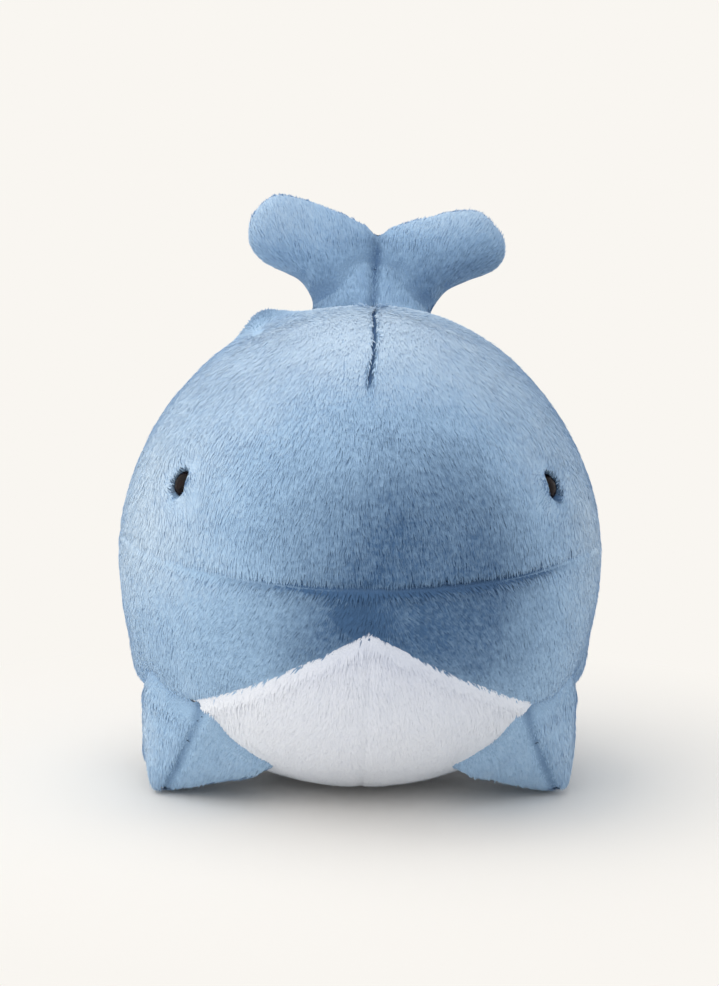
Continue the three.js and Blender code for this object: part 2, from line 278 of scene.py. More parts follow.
def mesh_object(
    name: str, parts: MeshParts, finishes: list[bpy.types.Material]
) -> bpy.types.Object:
    """Makes a Blender object from arrays in millimetres.

    Args:
        name: The object's name.
        parts: Its points, triangles and what is known of them.
        finishes: Its materials, in the order of the finish numbers.

    Returns:
        The object, linked into the scene.
    """
    mesh = bpy.data.meshes.new(name)
    count = len(parts.triangles)
    places = flat(parts.points * MM)
    mesh.vertices.add(len(parts.points))
    mesh.vertices.foreach_set("co", places)
    mesh.loops.add(3 * count)
    mesh.loops.foreach_set("vertex_index", flat(parts.triangles, np.int32))
    mesh.polygons.add(count)
    mesh.polygons.foreach_set("loop_start", np.arange(0, 3 * count, 3, dtype=np.int32))
    mesh.polygons.foreach_set("material_index", flat(parts.finish, np.int32))
    mesh.update(calc_edges=True)
    mesh.shade_smooth()
    for key, values in (("along", parts.along), ("tone", parts.tone)):
        attribute = mesh.attributes.new(key, "FLOAT", "POINT")
        attribute.data.foreach_set("value", flat(values))
    rest = mesh.attributes.new("rest_place", "FLOAT_VECTOR", "POINT")
    rest.data.foreach_set("vector", places)
    texture_places = flat(bake_map(parts.cells))
    mesh.uv_layers.new(name="OFBake").uv.foreach_set("vector", texture_places)
    mesh.normals_split_custom_set(parts.normals.astype(np.float32))
    for finish in finishes:
        mesh.materials.append(finish)
    piece = bpy.data.objects.new(name, mesh)
    bpy.context.scene.collection.objects.link(piece)
    return piece


def face_normals(points: Array, triangles: Array) -> Array:
    """The way each triangle faces."""
    start, second, third = (points[triangles[:, k]] for k in range(3))
    return unit(np.cross(second - start, third - start))


def rim_of(triangles: Array) -> Array:
    """Finds the open edges of a sheet.

    Args:
        triangles: The sheet's triangles.

    Returns:
        The two ends of each edge that only one triangle has, in that triangle's order.
    """
    edges = np.concatenate([triangles[:, [0, 1]], triangles[:, [1, 2]], triangles[:, [2, 0]]])
    key = np.sort(edges, axis=1)
    _, inverse, counts = np.unique(key, axis=0, return_inverse=True, return_counts=True)
    return edges[counts[inverse.ravel()] == 1]


def backing_parts(sheet: Sheet, depth: float, thickness: float, first_cell: int) -> MeshParts:
    """Makes the woven cloth under the pile, as a closed sheet of even thickness.

    Args:
        sheet: The plush, whose points lie at the pile's tips.
        depth: How far below the tips the cloth lies.
        thickness: The cloth's thickness.
        first_cell: The number of its first cell in the texture.

    Returns:
        The cloth's arrays.
    """
    count = len(sheet.points)
    top = sheet.points - sheet.normals * depth
    under = sheet.points - sheet.normals * (depth + thickness)
    rim = rim_of(sheet.triangles)
    walls = np.concatenate(
        [
            np.stack([rim[:, 1], rim[:, 0], rim[:, 0] + count], axis=1),
            np.stack([rim[:, 1], rim[:, 0] + count, rim[:, 1] + count], axis=1),
        ]
    )
    triangles = np.concatenate([sheet.triangles, sheet.triangles[:, ::-1] + count, walls])
    places = np.concatenate([top, under])
    corner_normals = np.concatenate([sheet.normals, -sheet.normals])[triangles]
    corner_normals[2 * len(sheet.triangles):] = face_normals(places, walls)[:, None]
    numbers = np.repeat(np.arange(len(triangles)) + first_cell, 3)
    corners = np.tile([[0.0, 0.0], [1.0, 0.0], [0.0, 1.0]], (len(triangles), 1))
    return MeshParts(
        points=places,
        triangles=triangles,
        normals=corner_normals.reshape(-1, 3),
        along=np.zeros(2 * count),
        tone=np.tile(sheet.tone, 2),
        cells=np.concatenate([numbers[:, None], corners], axis=1),
        finish=np.ones(len(triangles)),
    )


@dataclass(frozen=True)
class Pile:
    """How the pile of a plush stands. Angles are in degrees, those of tufts above the cloth."""

    length: float = 6.6
    depth: float = 1.0  # of the roots below the level of the tips
    backing_depth: float = 0.65  # less than depth, so that tufts come out from under the cloth
    width: float = 0.84
    spacing: float = 0.83
    root_angle: float = 9.5
    tip_angle: float = 1.6
    bend_share: float = 0.5  # of the length, from the root to the bend
    stray_share: float = 0.015  # of all tufts, those that stand off the coat
    stray_angle: float = 8.0  # less steep than its root, or the underside would face out
    stray_root_angle: float = 14.0
    stray_width: float = 0.5  # of the width of the others
    stray_nap: float = 0.9  # strays stand only where the pile is about as long as this
    least_nap: float = 0.05  # no tufts where the pile is shorter than this share
    least_facing: float = 0.85  # and none on a sharp fold
    sway: float = 12.0  # how far the nap wanders over a hand's breadth
    ruffle: float = 11.0  # how far it wanders from lock to lock
    scatter: float = 8.0  # how far each tuft turns by itself
    sway_grain: float = 34.0
    lock_grain: float = 5.0
    length_play: float = 0.12  # from lock to lock, and as much from tuft to tuft
    width_play: float = 0.2
    lock_lift: float = 3.0  # how far the tips' angle wanders from lock to lock
    tuft_lift: float = 2.0  # and from tuft to tuft
    least_lift: float = 0.5
    least_bend: float = 2.0  # how much less steep than its root a tip is
    roll: float = 0.07  # how far each tuft's face is turned about its length
    lock_tilt: float = 0.08
    tuft_shade: float = 0.016
    lock_shade: float = 0.024
    floor_gap: float = 0.25

    def planted(self, sheet: Sheet, draw: np.random.Generator) -> tuple[Array, Array]:
        """Picks where the tufts stand.

        Args:
            sheet: The plush to grow them on.
            draw: The source of random numbers.

        Returns:
            The corners of the triangle that each tuft stands on, and their shares in its place.
        """
        areas = sheet.areas()
        count = int(areas.sum() / self.spacing**2)
        reach = np.cumsum(areas) / areas.sum()
        chosen = np.searchsorted(reach, (np.arange(count) + draw.random(count)) / count)
        chosen = np.minimum(chosen, len(areas) - 1)
        u, v = draw.random((2, count))
        over = u + v > 1.0
        u, v = np.where(over, 1.0 - u, u), np.where(over, 1.0 - v, v)
        shares = np.stack([1.0 - u - v, u, v], axis=1)
        corners = sheet.triangles[chosen]
        normal = (sheet.normals[corners] * shares[:, :, None]).sum(axis=1)
        facing = (normal * face_normals(sheet.points, sheet.triangles)[chosen]).sum(axis=1)
        nap = (sheet.nap[corners] * shares).sum(axis=1)
        full = (nap > self.least_nap) & (facing > self.least_facing)
        return corners[full], shares[full]

    def slivers(self, place: Array, normal: Array, flow: Array, nap: Array, locks: Array,
                draw: np.random.Generator) -> Array:
        """Bends a tuft over at each place.

        Args:
            place: Where the tufts stand, at the level of the tips.
            normal: The plush's normal at each tuft.
            flow: The way that each tuft lies.
            nap: How long the pile is at each tuft, as a share of its length.
            locks: The wander that tufts of one lock share.
            draw: The source of random numbers.

        Returns:
            Four points for each tuft: its root, the two sides of its bend, and its tip.
        """
        count = len(place)
        play = 1.0 + self.length_play * locks[:, 1] + self.length_play * draw.normal(size=count)
        length = self.length * nap * play
        stray = (draw.random(count) < self.stray_share) & (nap > self.stray_nap)
        lift = self.tip_angle + self.lock_lift * locks[:, 2]
        lift = lift + self.tuft_lift * draw.normal(size=count)
        lift = np.clip(lift, self.least_lift, self.root_angle - self.least_bend)
        tip_angle = np.radians(np.where(stray, self.stray_angle, lift))[:, None]
        root_angle = np.radians(np.where(stray, self.stray_root_angle, self.root_angle))[:, None]

        root = place - normal * self.depth
        stand = (self.bend_share * length)[:, None]
        lie = ((1.0 - self.bend_share) * length)[:, None]
        bend = root + stand * (flow * np.cos(root_angle) + normal * np.sin(root_angle))
        tip = bend + lie * (flow * np.cos(tip_angle) + normal * np.sin(tip_angle))
        half = (self.width / 2.0 * (1.0 + self.width_play * draw.normal(size=count)))[:, None]
        aside = np.cross(flow, normal) * (half * np.where(stray, self.stray_width, 1.0)[:, None])
        points = np.stack([root, bend - aside, bend + aside, tip], axis=1).reshape(-1, 3)
        points[:, 2] = np.maximum(points[:, 2], self.floor_gap)
        return points

    def grown(self, sheet: Sheet, seed: int) -> MeshParts:
        """Grows tufts all over a sheet, each a closed sliver that bends over.

        Args:
            sheet: The plush to grow them on.
            seed: Picks their places and turns.

        Returns:
            The tufts' arrays.
        """
        draw = np.random.default_rng(seed)
        corners, shares = self.planted(sheet, draw)
        count = len(corners)

        def spread(values: Array) -> Array:
            """Reads the sheet's values at the tufts.

            Args:
                values: One row for each point of the sheet.

            Returns:
                One row for each tuft.
            """
            picked = values[corners]
            weights = shares if picked.ndim == 2 else shares[:, :, None]
            return (picked * weights).sum(axis=1)

        place, nap = spread(sheet.points), spread(sheet.nap)
        normal = unit(spread(sheet.normals))
        sways = Tousle(Wander.SWAYS).at(place, self.sway_grain)
        locks = Tousle(Wander.LOCKS).at(place, self.lock_grain)
        wander = self.sway * sways[:, 0] + self.ruffle * locks[:, 0]
        turn = np.radians(wander + self.scatter * draw.normal(size=count))
        flow = turned(along_surface(spread(sheet.flow), normal), normal, turn)
        points = self.slivers(place, normal, flow, nap, locks, draw)

        sliver = np.array([[0, 2, 1], [3, 1, 2], [0, 1, 3], [0, 3, 2]])  # two tops, two undersides
        triangles = (np.arange(count)[:, None, None] * 4 + sliver).reshape(-1, 3)
        rolled = self.roll * draw.normal(size=(count, 1)) * np.cross(flow, normal)
        own = unit(normal + rolled - self.lock_tilt * locks[:, 2:] * flow)
        faces = face_normals(points, triangles).reshape(count, 4, 1, 3)
        corner_normals = np.repeat(faces, 3, axis=2)
        corner_normals[:, :2] = own[:, None, None]  # the tops lie with the coat
        spots = np.array([[0.5, 0.0], [0.0, 0.5], [1.0, 0.5], [0.5, 1.0]])
        numbers = np.repeat(np.arange(count), sliver.size)
        cells = np.concatenate(
            [numbers[:, None], np.tile(spots[sliver.ravel()], (count, 1))], axis=1
        )
        shade = spread(sheet.tone) + self.tuft_shade * draw.normal(size=count)
        return MeshParts(
            points=points,
            triangles=triangles,
            normals=corner_normals.reshape(-1, 3),
            along=np.tile([0.0, 0.5, 0.5, 1.0], count),
            tone=np.repeat(shade + self.lock_shade * locks[:, 1], 4),
            cells=cells,
            finish=np.zeros(len(triangles)),
        )


def plush_piece(
    name: str,
    sheet: Sheet,
    cloth: Sheet,
    pile: Pile,
    thickness: float,
    seed: int,
    finishes: list[bpy.types.Material],
) -> bpy.types.Object:
    """Makes a panel of plush: its pile and its backing, as one piece.

    Args:
        name: The piece's name.
        sheet: The panel that the pile grows on.
        cloth: The same panel for its backing, which may have fewer points.
        pile: The pile.
        thickness: The backing's thickness.
        seed: Picks the tufts' places.
        finishes: The materials of the pile and the backing.

    Returns:
        The piece.
    """
    tufts = pile.grown(sheet, seed)
    count = len(tufts.points) // 4
    backing = backing_parts(cloth, pile.backing_depth, thickness, count)
    piece = mesh_object(name, MeshParts.joined([tufts, backing]), finishes)
    log.info("%s: %d tufts, %d triangles", piece.name, count, len(piece.data.polygons))
    return piece


# Finishes


class NodeSheet:
    """The nodes of a material or a world, with short calls to add and join them."""

    def __init__(self, tree: bpy.types.NodeTree) -> None:
        """Starts on a tree of nodes."""
        self.tree = tree

    def add(self, kind: str, **settings: object) -> bpy.types.Node:
        """Adds a node and sets its properties.

        Args:
            kind: The node's type.
            **settings: Properties by name.

        Returns:
            The node.
        """
        node = self.tree.nodes.new(kind)
        for key, value in settings.items():
            setattr(node, key, value)
        return node

    def join(self, source: Socket, target: Socket) -> None:
        """Joins an output to an input."""
        self.tree.links.new(source, target)

    def combined(self, operation: str, first: Socket, second: Socket) -> Socket:
        """Works out one value from two.

        Args:
            operation: What is done with them, as the math node calls it.
            first: The first value's socket.
            second: The second value's socket.

        Returns:
            The result's socket.
        """
        node = self.add("ShaderNodeMath", operation=operation)
        self.join(first, node.inputs[0])
        self.join(second, node.inputs[1])
        return node.outputs[0]

    def sum(self, *values: Socket) -> Socket:
        """Adds several values up.

        Args:
            *values: Their sockets.

        Returns:
            The total's socket.
        """
        total = values[0]
        for value in values[1:]:
            total = self.combined("ADD", total, value)
        return total

    def seen(self) -> Socket:
        """Finds whether the camera sees a place, straight or by way of a gloss or glass.

        Returns:
            The socket of a value that is 1 where it does and 0 elsewhere.
        """
        path = self.add("ShaderNodeLightPath").outputs
        mirrored = self.combined("MAXIMUM", path["Is Camera Ray"], path["Is Glossy Ray"])
        return self.combined("MAXIMUM", mirrored, path["Is Transmission Ray"])

    def mixed(self, share: Socket, first: Socket, second: Socket) -> Socket:
        """Mixes two shaders.

        Args:
            share: The second shader's share.
            first: The first shader's socket.
            second: The second shader's socket.

        Returns:
            The mixed shader's socket.
        """
        node = self.add("ShaderNodeMixShader")
        for key, source in zip(("Fac", 1, 2), (share, first, second)):
            self.join(source, node.inputs[key])
        return node.outputs["Shader"]

    def noise(self, place: Socket, scale: float, detail: float = 2.0) -> bpy.types.Node:
        """Adds a noise texture.

        Args:
            place: The socket with the place to read it at, in metres.
            scale: Cells for each metre.
            detail: Octaves.

        Returns:
            The noise node.
        """
        node = self.add("ShaderNodeTexNoise")
        node.inputs["Scale"].default_value = scale
        node.inputs["Detail"].default_value = detail
        self.join(place, node.inputs["Vector"])
        return node

    def spread(
        self, value: Socket, low: float, high: float, start: float = 0.0, end: float = 1.0
    ) -> Socket:
        """Maps a value from one range to another.

        Args:
            value: The socket to read.
            low: The result at start.
            high: The result at end.
            start: The value that gives low.
            end: The value that gives high.

        Returns:
            The result's socket.
        """
        node = self.add("ShaderNodeMapRange")
        ranges = {"From Min": start, "From Max": end, "To Min": low, "To Max": high}
        for key, number in ranges.items():
            node.inputs[key].default_value = number
        self.join(value, node.inputs["Value"])
        return node.outputs["Result"]

    def ramp(self, value: Socket, stops: list[tuple[float, Triple]]) -> Socket:
        """Adds a colour ramp.

        Args:
            value: The socket to read.
            stops: Places along the ramp with their colours.

        Returns:
            The colour's socket.
        """
        node = self.add("ShaderNodeValToRGB")
        elements = node.color_ramp.elements
        while len(elements) < len(stops):
            elements.new(0.5)
        for element, (place, colour) in zip(elements, stops):
            element.position = place
            element.color = (*colour, 1.0)
        self.join(value, node.inputs["Fac"])
        return node.outputs["Color"]


class MaterialSheet(NodeSheet):
    """A new material's nodes, with its principled shader."""

    def __init__(self, name: str) -> None:
        """Starts a material.

        Args:
            name: The material's name.
        """
        self.material = bpy.data.materials.new(name)
        self.material.use_nodes = True
        super().__init__(self.material.node_tree)
        self.shader = self.tree.nodes["Principled BSDF"]

    def attribute(self, name: str) -> bpy.types.Node:
        """A node that reads a named attribute of the mesh."""
        return self.add("ShaderNodeAttribute", attribute_name=name)

    def feed(self, name: str, source: Socket) -> None:
        """Joins an output to one of the shader's inputs."""
        self.join(source, self.shader.inputs[name])

    def put(self, name: str, value: object) -> None:
        """Sets one of the shader's inputs to a fixed value."""
        self.shader.inputs[name].default_value = value

    def bumped(self, height: Socket, strength: float, step: float) -> None:
        """Puts a bump on the shader's normal.

        Args:
            height: The socket with the height.
            strength: From 0 to 1.
            step: The height of a full step, in millimetres.
        """
        node = self.add("ShaderNodeBump")
        node.inputs["Strength"].default_value = strength
        node.inputs["Distance"].default_value = step * MM
        self.join(height, node.inputs["Height"])
        self.feed("Normal", node.outputs["Normal"])


def linear(red: int, green: int, blue: int) -> Triple:
    """Turns a screen colour into the linear colour that nodes want.

    Args:
        red: From 0 to 255.
        green: From 0 to 255.
        blue: From 0 to 255.

    Returns:
        The three linear parts.
    """

    def part(value: int) -> float:
        """One part of the colour."""
        share = value / 255.0
        return share / 12.92 if share <= 0.04045 else ((share + 0.055) / 1.055) ** 2.4

    return part(red), part(green), part(blue)


@dataclass(frozen=True)
class PlushFinish:
    """Dyed pile with uneven dye and wear, darkened towards its roots by painted shade deep in the
    pile, and pale at its tips.

    Levels are places along the ramp from root through body to tip, and the sizes of noises are
    cells for each metre.
    """

    name: str
    root: Colour
    body: Colour
    tip: Colour
    unevenness: float = 0.07
    pile_levels: Span = (0.36, 0.60)  # at a tuft's root and at its tip; the low level at the root is painted shade
    # the cloth lies deep under the tufts, so its levels lean towards the dark root colour as
    # painted shade
    cloth_levels: Span = (0.36, 0.46)
    clouds: float = 26.0
    fibres: float = 420.0
    roughness: Span = (0.72, 0.98)
    gloss: float = 0.12
    sheen: float = 0.3
    sheen_roughness: float = 0.5
    sheen_tint: Triple = (0.82, 0.92, 1.0)
    patches: float = 60.0
    stitches: float = 900.0
    stitch_shade: float = 0.05
    cloth_roughness: Span = (0.85, 1.0)
    relief: float = 0.6  # the strength of the stitches' bump
    relief_step: float = 0.4

    NOISE_RANGE = (0.3, 0.7)  # the range that most of a noise lies in

    def dye(self, sheet: MaterialSheet, *levels: Socket) -> None:
        """Colours a material by levels that add up, and by the tone at each point, which holds
        painted light and shade as well as random tone.

        Args:
            sheet: The material.
            *levels: The sockets of the levels.
        """
        tone = sheet.spread(sheet.attribute("tone").outputs["Fac"], -1.0, 1.0, -1.0, 1.0)
        stops = [(0.0, linear(*self.root)), (0.5, linear(*self.body)), (1.0, linear(*self.tip))]
        sheet.feed("Base Color", sheet.ramp(sheet.sum(*levels, tone), stops))

    def pile_material(self) -> bpy.types.Material:
        """Makes the material of the tufts.

        Returns:
            The material.
        """
        sheet = MaterialSheet(f"{self.name}_pile")
        place = sheet.attribute("rest_place").outputs["Vector"]
        clouds = sheet.noise(place, self.clouds, 3.0).outputs["Fac"]
        fibres = sheet.noise(place, self.fibres, 2.0).outputs["Fac"]
        uneven = (-self.unevenness, self.unevenness, *self.NOISE_RANGE)
        self.dye(
            sheet,
            sheet.spread(sheet.attribute("along").outputs["Fac"], *self.pile_levels),
            sheet.spread(clouds, *uneven),
            sheet.spread(fibres, *uneven),
        )
        sheet.feed("Roughness", sheet.spread(fibres, *self.roughness, *self.NOISE_RANGE))
        sheet.put("Specular IOR Level", self.gloss)
        sheet.put("Sheen Weight", self.sheen)
        sheet.put("Sheen Roughness", self.sheen_roughness)
        sheet.put("Sheen Tint", (*self.sheen_tint, 1.0))
        return sheet.material

    def backing_material(self) -> bpy.types.Material:
        """Makes the material of the knitted cloth under the pile.

        Returns:
            The material.
        """
        sheet = MaterialSheet(f"{self.name}_backing")
        place = sheet.attribute("rest_place").outputs["Vector"]
        knit = sheet.add("ShaderNodeTexVoronoi")
        knit.inputs["Scale"].default_value = self.stitches
        sheet.join(place, knit.inputs["Vector"])
        stitch = knit.outputs["Distance"]
        patches = sheet.noise(place, self.patches).outputs["Fac"]
        self.dye(
            sheet,
            sheet.spread(patches, *self.cloth_levels, *self.NOISE_RANGE),
            sheet.spread(stitch, self.stitch_shade, -self.stitch_shade),
        )
        sheet.feed("Roughness", sheet.spread(patches, *self.cloth_roughness))
        sheet.bumped(stitch, self.relief, self.relief_step)
        return sheet.material


@dataclass(frozen=True)
class StuffingFinish:
    """Loose polyester fibre: pale, with a fine tangle in its bump."""

    name: str = "stuffing_fibre"
    shade: Colour = (214, 212, 206)
    light: Colour = (246, 245, 241)
    tangle: float = 700.0  # cells for each metre, as the clouds
    tangle_octaves: float = 6.0
    tangle_twist: float = 2.5
    tangle_level: float = 0.7
    clouds: float = 45.0
    clouds_octaves: float = 3.0
    clouds_level: float = 0.4
    roughness: Span = (0.85, 1.0)
    relief: float = 0.8
    relief_step: float = 2.0

    def material(self) -> bpy.types.Material:
        """Makes the material.

        Returns:
            The material.
        """
        sheet = MaterialSheet(self.name)
        place = sheet.add("ShaderNodeTexCoord").outputs["Object"]
        tangle = sheet.noise(place, self.tangle, self.tangle_octaves)
        tangle.inputs["Distortion"].default_value = self.tangle_twist
        fibre = tangle.outputs["Fac"]
        clouds = sheet.noise(place, self.clouds, self.clouds_octaves).outputs["Fac"]
        level = sheet.sum(
            sheet.spread(fibre, 0.0, self.tangle_level),
            sheet.spread(clouds, 0.0, self.clouds_level),
        )
        stops = [(0.2, linear(*self.shade)), (0.8, linear(*self.light))]
        sheet.feed("Base Color", sheet.ramp(level, stops))
        sheet.feed("Roughness", sheet.spread(clouds, *self.roughness))
        sheet.bumped(fibre, self.relief, self.relief_step)
        return sheet.material


@dataclass(frozen=True)
class PlasticFinish:
    """Moulded plastic: clouds in its colour, and fine marks in its gloss and its bump."""

    name: str
    dark: Colour
    pale: Colour
    clouds: Span  # cells for each metre, and octaves
    marks: Span
    roughness: "tuple[float, float, float, float]"  # least, most, and the marks that give them
    relief: float
    relief_step: float = 0.1
    gloss: float = 0.5

    def material(self) -> bpy.types.Material:
        """Makes the material.

        Returns:
            The material.
        """
        sheet = MaterialSheet(self.name)
        place = sheet.add("ShaderNodeTexCoord").outputs["Object"]
        clouds = sheet.noise(place, *self.clouds).outputs["Fac"]
        marks = sheet.noise(place, *self.marks).outputs["Fac"]
        stops = [(0.3, linear(*self.dark)), (0.7, linear(*self.pale))]
        sheet.feed("Base Color", sheet.ramp(clouds, stops))
        sheet.feed("Roughness", sheet.spread(marks, *self.roughness))
        sheet.bumped(marks, self.relief, self.relief_step)
        sheet.put("Specular IOR Level", self.gloss)
        return sheet.material


# The root colour is the dark end that painted shade reaches: at the tufts' roots, deep in the pile,
# and in the darkest painted marks.
BLUE = PlushFinish("blue_plush", (72, 106, 146), (165, 198, 229), (204, 225, 244))
WHITE = PlushFinish(
    "white_plush", (228, 234, 248), (242, 246, 254), (250, 252, 255), unevenness=0.05
)
EYE = PlasticFinish(
    name="eye_gloss",
    dark=(6, 4, 6),
    pale=(26, 11, 11),
    clouds=(300.0, 2.0),
    marks=(1500.0, 4.0),
    roughness=(0.18, 0.32, 0.35, 0.7),
    relief=0.08,
    gloss=0.1,
)
WASHER = PlasticFinish(
    name="washer_matte",
    dark=(216, 216, 210),
    pale=(234, 234, 229),
    clouds=(1800.0, 3.0),
    marks=(1800.0, 3.0),
    roughness=(0.5, 0.7, 0.0, 1.0),
    relief=0.2,
)


class Finishes:
    """All materials of the toy, each made once."""

    def __init__(self) -> None:
        """Makes them."""
        self.blue = [BLUE.pile_material(), BLUE.backing_material()]
        self.white = [WHITE.pile_material(), WHITE.backing_material()]
        self.stuffing = StuffingFinish().material()
        self.eye = EYE.material()
        self.washer = WASHER.material()


# Body


@dataclass(frozen=True)
class MouthSeam:
    """The seam between crown and flanks, which the thread draws in like a smile."""

    height: float = 124.5
    rise: float = 8.0  # how much higher it runs at the flanks
    dip: float = 2.6
    reach: float = 2.2
    line: float = 1.7  # how far below the seam the crown's tufts end
    line_edges: Span = (0.8, -0.3)
    # painted shadow on the flank, under the ends of the crown's tufts
    line_dark: float = 0.9
    line_thinning: float = 0.6
    rim_dark: float = 0.6  # painted shade on the crown's side, where the seam is drawn in
    rim_edges: Span = (1.6, 0.3)
    thinning: float = 0.4
    thin_reach: float = 3.5
    hold: float = 0.06  # how firmly the thread holds all round
    firm_hold: float = 0.9
    firm_turn: float = 0.42  # where it holds most firmly, to the right of the nose
    firm_reach: float = 0.36
    left_share: float = 0.35
    left_reach: float = 0.5
    rear_hold: float = 0.2
    rear_turns: Span = (1.7, 2.4)

    def height_at(self, turn: Array) -> Array:
        """The seam's height at each turn."""
        return self.height + self.rise * np.sin(turn) ** 2

    def pull(self, turn: Array, side: float) -> Array:
        """How firmly the thread holds at each turn: most by the nose, little at the flanks.

        Args:
            turn: Turns.
            side: -1 for the left side, 1 for the right.

        Returns:
            Shares, 1 where it holds as firmly as it can.
        """
        if side > 0:
            ahead = bump(turn - self.firm_turn, self.firm_reach)
        else:
            ahead = self.left_share * bump(turn, self.left_reach)
        return self.hold + self.firm_hold * ahead + self.rear_hold * fade(turn, *self.rear_turns)


@dataclass(frozen=True)
class BellySeam:
    """The edge of the white belly, with a peak at the chin and one at the rump."""

    chin_height: float = 101.8
    rump_height: float = 88.0
    low: float = 46.0
    exponent: float = 1.25
    dip: float = 1.5
    reach: float = 4.5

    def height_at(self, turn: Array) -> Array:
        """The edge's height at each turn.

        Args:
            turn: Turns.

        Returns:
            Heights above the floor.
        """
        peak = np.where(np.cos(turn) > 0, self.chin_height, self.rump_height)
        rise = np.maximum(1.0 - np.sin(turn), 0.0) ** self.exponent
        return self.low + (peak - self.low) * rise


@dataclass(frozen=True)
class Dart:
    """The sewn fold down the middle of the crown, which leans to the right as it climbs."""

    end: float = 211.0  # the height at which it ends on the forehead
    fading: float = 7.0  # the height over which it dies out there
    back: Span = (64.0, 44.0)  # where it starts under the tail
    depth: float = 1.5
    reach: float = 0.9
    # painted shade in the dart's crease
    dark: float = 1.1
    dark_reach: float = 1.0
    thinning: float = 0.3
    lean: float = 4.5
    lean_heights: Span = (205.0, 245.0)

    def lean_at(self, height: Array) -> Array:
        """How far the dart leans to the right at a height."""
        return self.lean * fade(height, *self.lean_heights)

    def share(self, places: Array, across: Array, reach: float) -> Array:
        """How much of the dart each place gets.

        Args:
            places: Places on the body.
            across: How far each lies to the side of the dart.
            reach: How far to the side it dies out.

        Returns:
            Shares from 0 to 1.
        """
        share = bump(across, reach) * fade(places[..., 2], self.end, self.end + self.fading)
        return share * fade(places[..., 1], *self.back)


@dataclass(frozen=True)
class EyeSocket:
    """How the plush is drawn in, cropped and darkened with painted shade round an eye. Outer means
    away from the nose.

    Spans of past are distances outward past the eye's middle, from the value at which an effect
    leaves 0 to the one at which it is full.
    """

    shares: Span = (0.745, -0.552)  # the eye's place, of half the body's width and length
    outer: Triple = (0.7, 1.0, 0.0)  # the outward way for the right eye
    nose_way: Triple = (-0.6, -0.8, 0.0)
    dimple: float = 1.0
    dimple_radius: float = 14.0
    depth: float = 4.6  # how far the thread draws the plush in
    floor: float = 6.5  # the radii between which the socket's wall falls
    rim: float = 8.6
    lid: float = 1.7  # how far the plush stands up on the side towards the nose
    lid_radius: float = 7.0
    lid_step: float = 9.2
    outer_thinning: float = 0.3
    outer_radii: Span = (14.0, 7.5)
    outer_past: Span = (-3.0, 2.0)
    inner_thinning: float = 0.8
    inner_radius: float = 13.0
    inner_past: Span = (2.0, -4.0)
    bare_gap: float = 0.1  # how far the pile starts outside the socket's floor
    bare_more: float = 1.7
    bare_past: Span = (1.0, -3.0)
    # painted shade on the socket's far, outer side
    dark: float = 0.4
    dark_radius: float = 11.0
    dark_past: Span = (-2.0, 4.0)
    # painted shade down the socket's wall
    ring_dark: float = 0.6
    ring_radii: Span = (9.0, 7.6)
    sweep: float = 3.5  # how firmly the nap is brushed towards the nose
    sweep_radius: float = 14.0

    def outward(self, side: float) -> Array:
        """The outward way for an eye."""
        return np.array(self.outer) * [side, 1.0, 1.0]

    def dips(self, places: Array, eye: Array, side: float) -> Array:
        """How far the plush is drawn in round an eye.

        Args:
            places: Places on the body.
            eye: The eye's middle.
            side: -1 for the left side, 1 for the right.

        Returns:
            The depth at each place.
        """
        to_eye = distance(places, eye)
        lid = eye + self.lid_step * unit(np.array(self.nose_way) * [side, 1.0, 1.0])
        return (
            self.dimple * bump(to_eye, self.dimple_radius)
            + self.depth * fade(to_eye, self.rim, self.floor)
            - self.lid * bump(distance(places, lid), self.lid_radius)
        )

    def cropped(self, nap: Array, points: Array, eye: Array, side: float) -> Array:
        """Crops the pile round an eye.

        Args:
            nap: How long the pile is, as a share.
            points: The plush's points.
            eye: The eye's middle.
            side: -1 for the left side, 1 for the right.

        Returns:
            How long it is after that.
        """
        to_eye = distance(points, eye)
        past = (points - eye) @ unit(self.outward(side))
        outer = fade(to_eye, *self.outer_radii) * fade(past, *self.outer_past)
        inner = bump(to_eye, self.inner_radius) * fade(past, *self.inner_past)
        bare = self.floor + self.bare_gap + self.bare_more * fade(past, *self.bare_past)
        nap = nap - self.outer_thinning * outer - self.inner_thinning * inner
        return nap * np.clip(to_eye - bare, 0.0, 1.0)

    def tone(self, points: Array, eye: Array, side: float) -> Array:
        """How much painted shade darkens the plush round an eye.

        Args:
            points: The plush's points.
            eye: The eye's middle.
            side: -1 for the left side, 1 for the right.

        Returns:
            What the eye adds to the tone, 0 or less.
        """
        to_eye = distance(points, eye)
        past = (points - eye) @ unit(self.outward(side))
        outer = bump(to_eye, self.dark_radius) * fade(past, *self.dark_past)
        return -self.dark * outer - self.ring_dark * fade(to_eye, *self.ring_radii)


@dataclass(frozen=True)
class Spot:
    """A round spot on the toy that dies out beyond its radius."""

    place: Triple
    radius: float

    def share(self, points: Array) -> Array:
        """How much of the spot each point gets, from 0 to 1."""
        return bump(distance(points, self.place), self.radius)


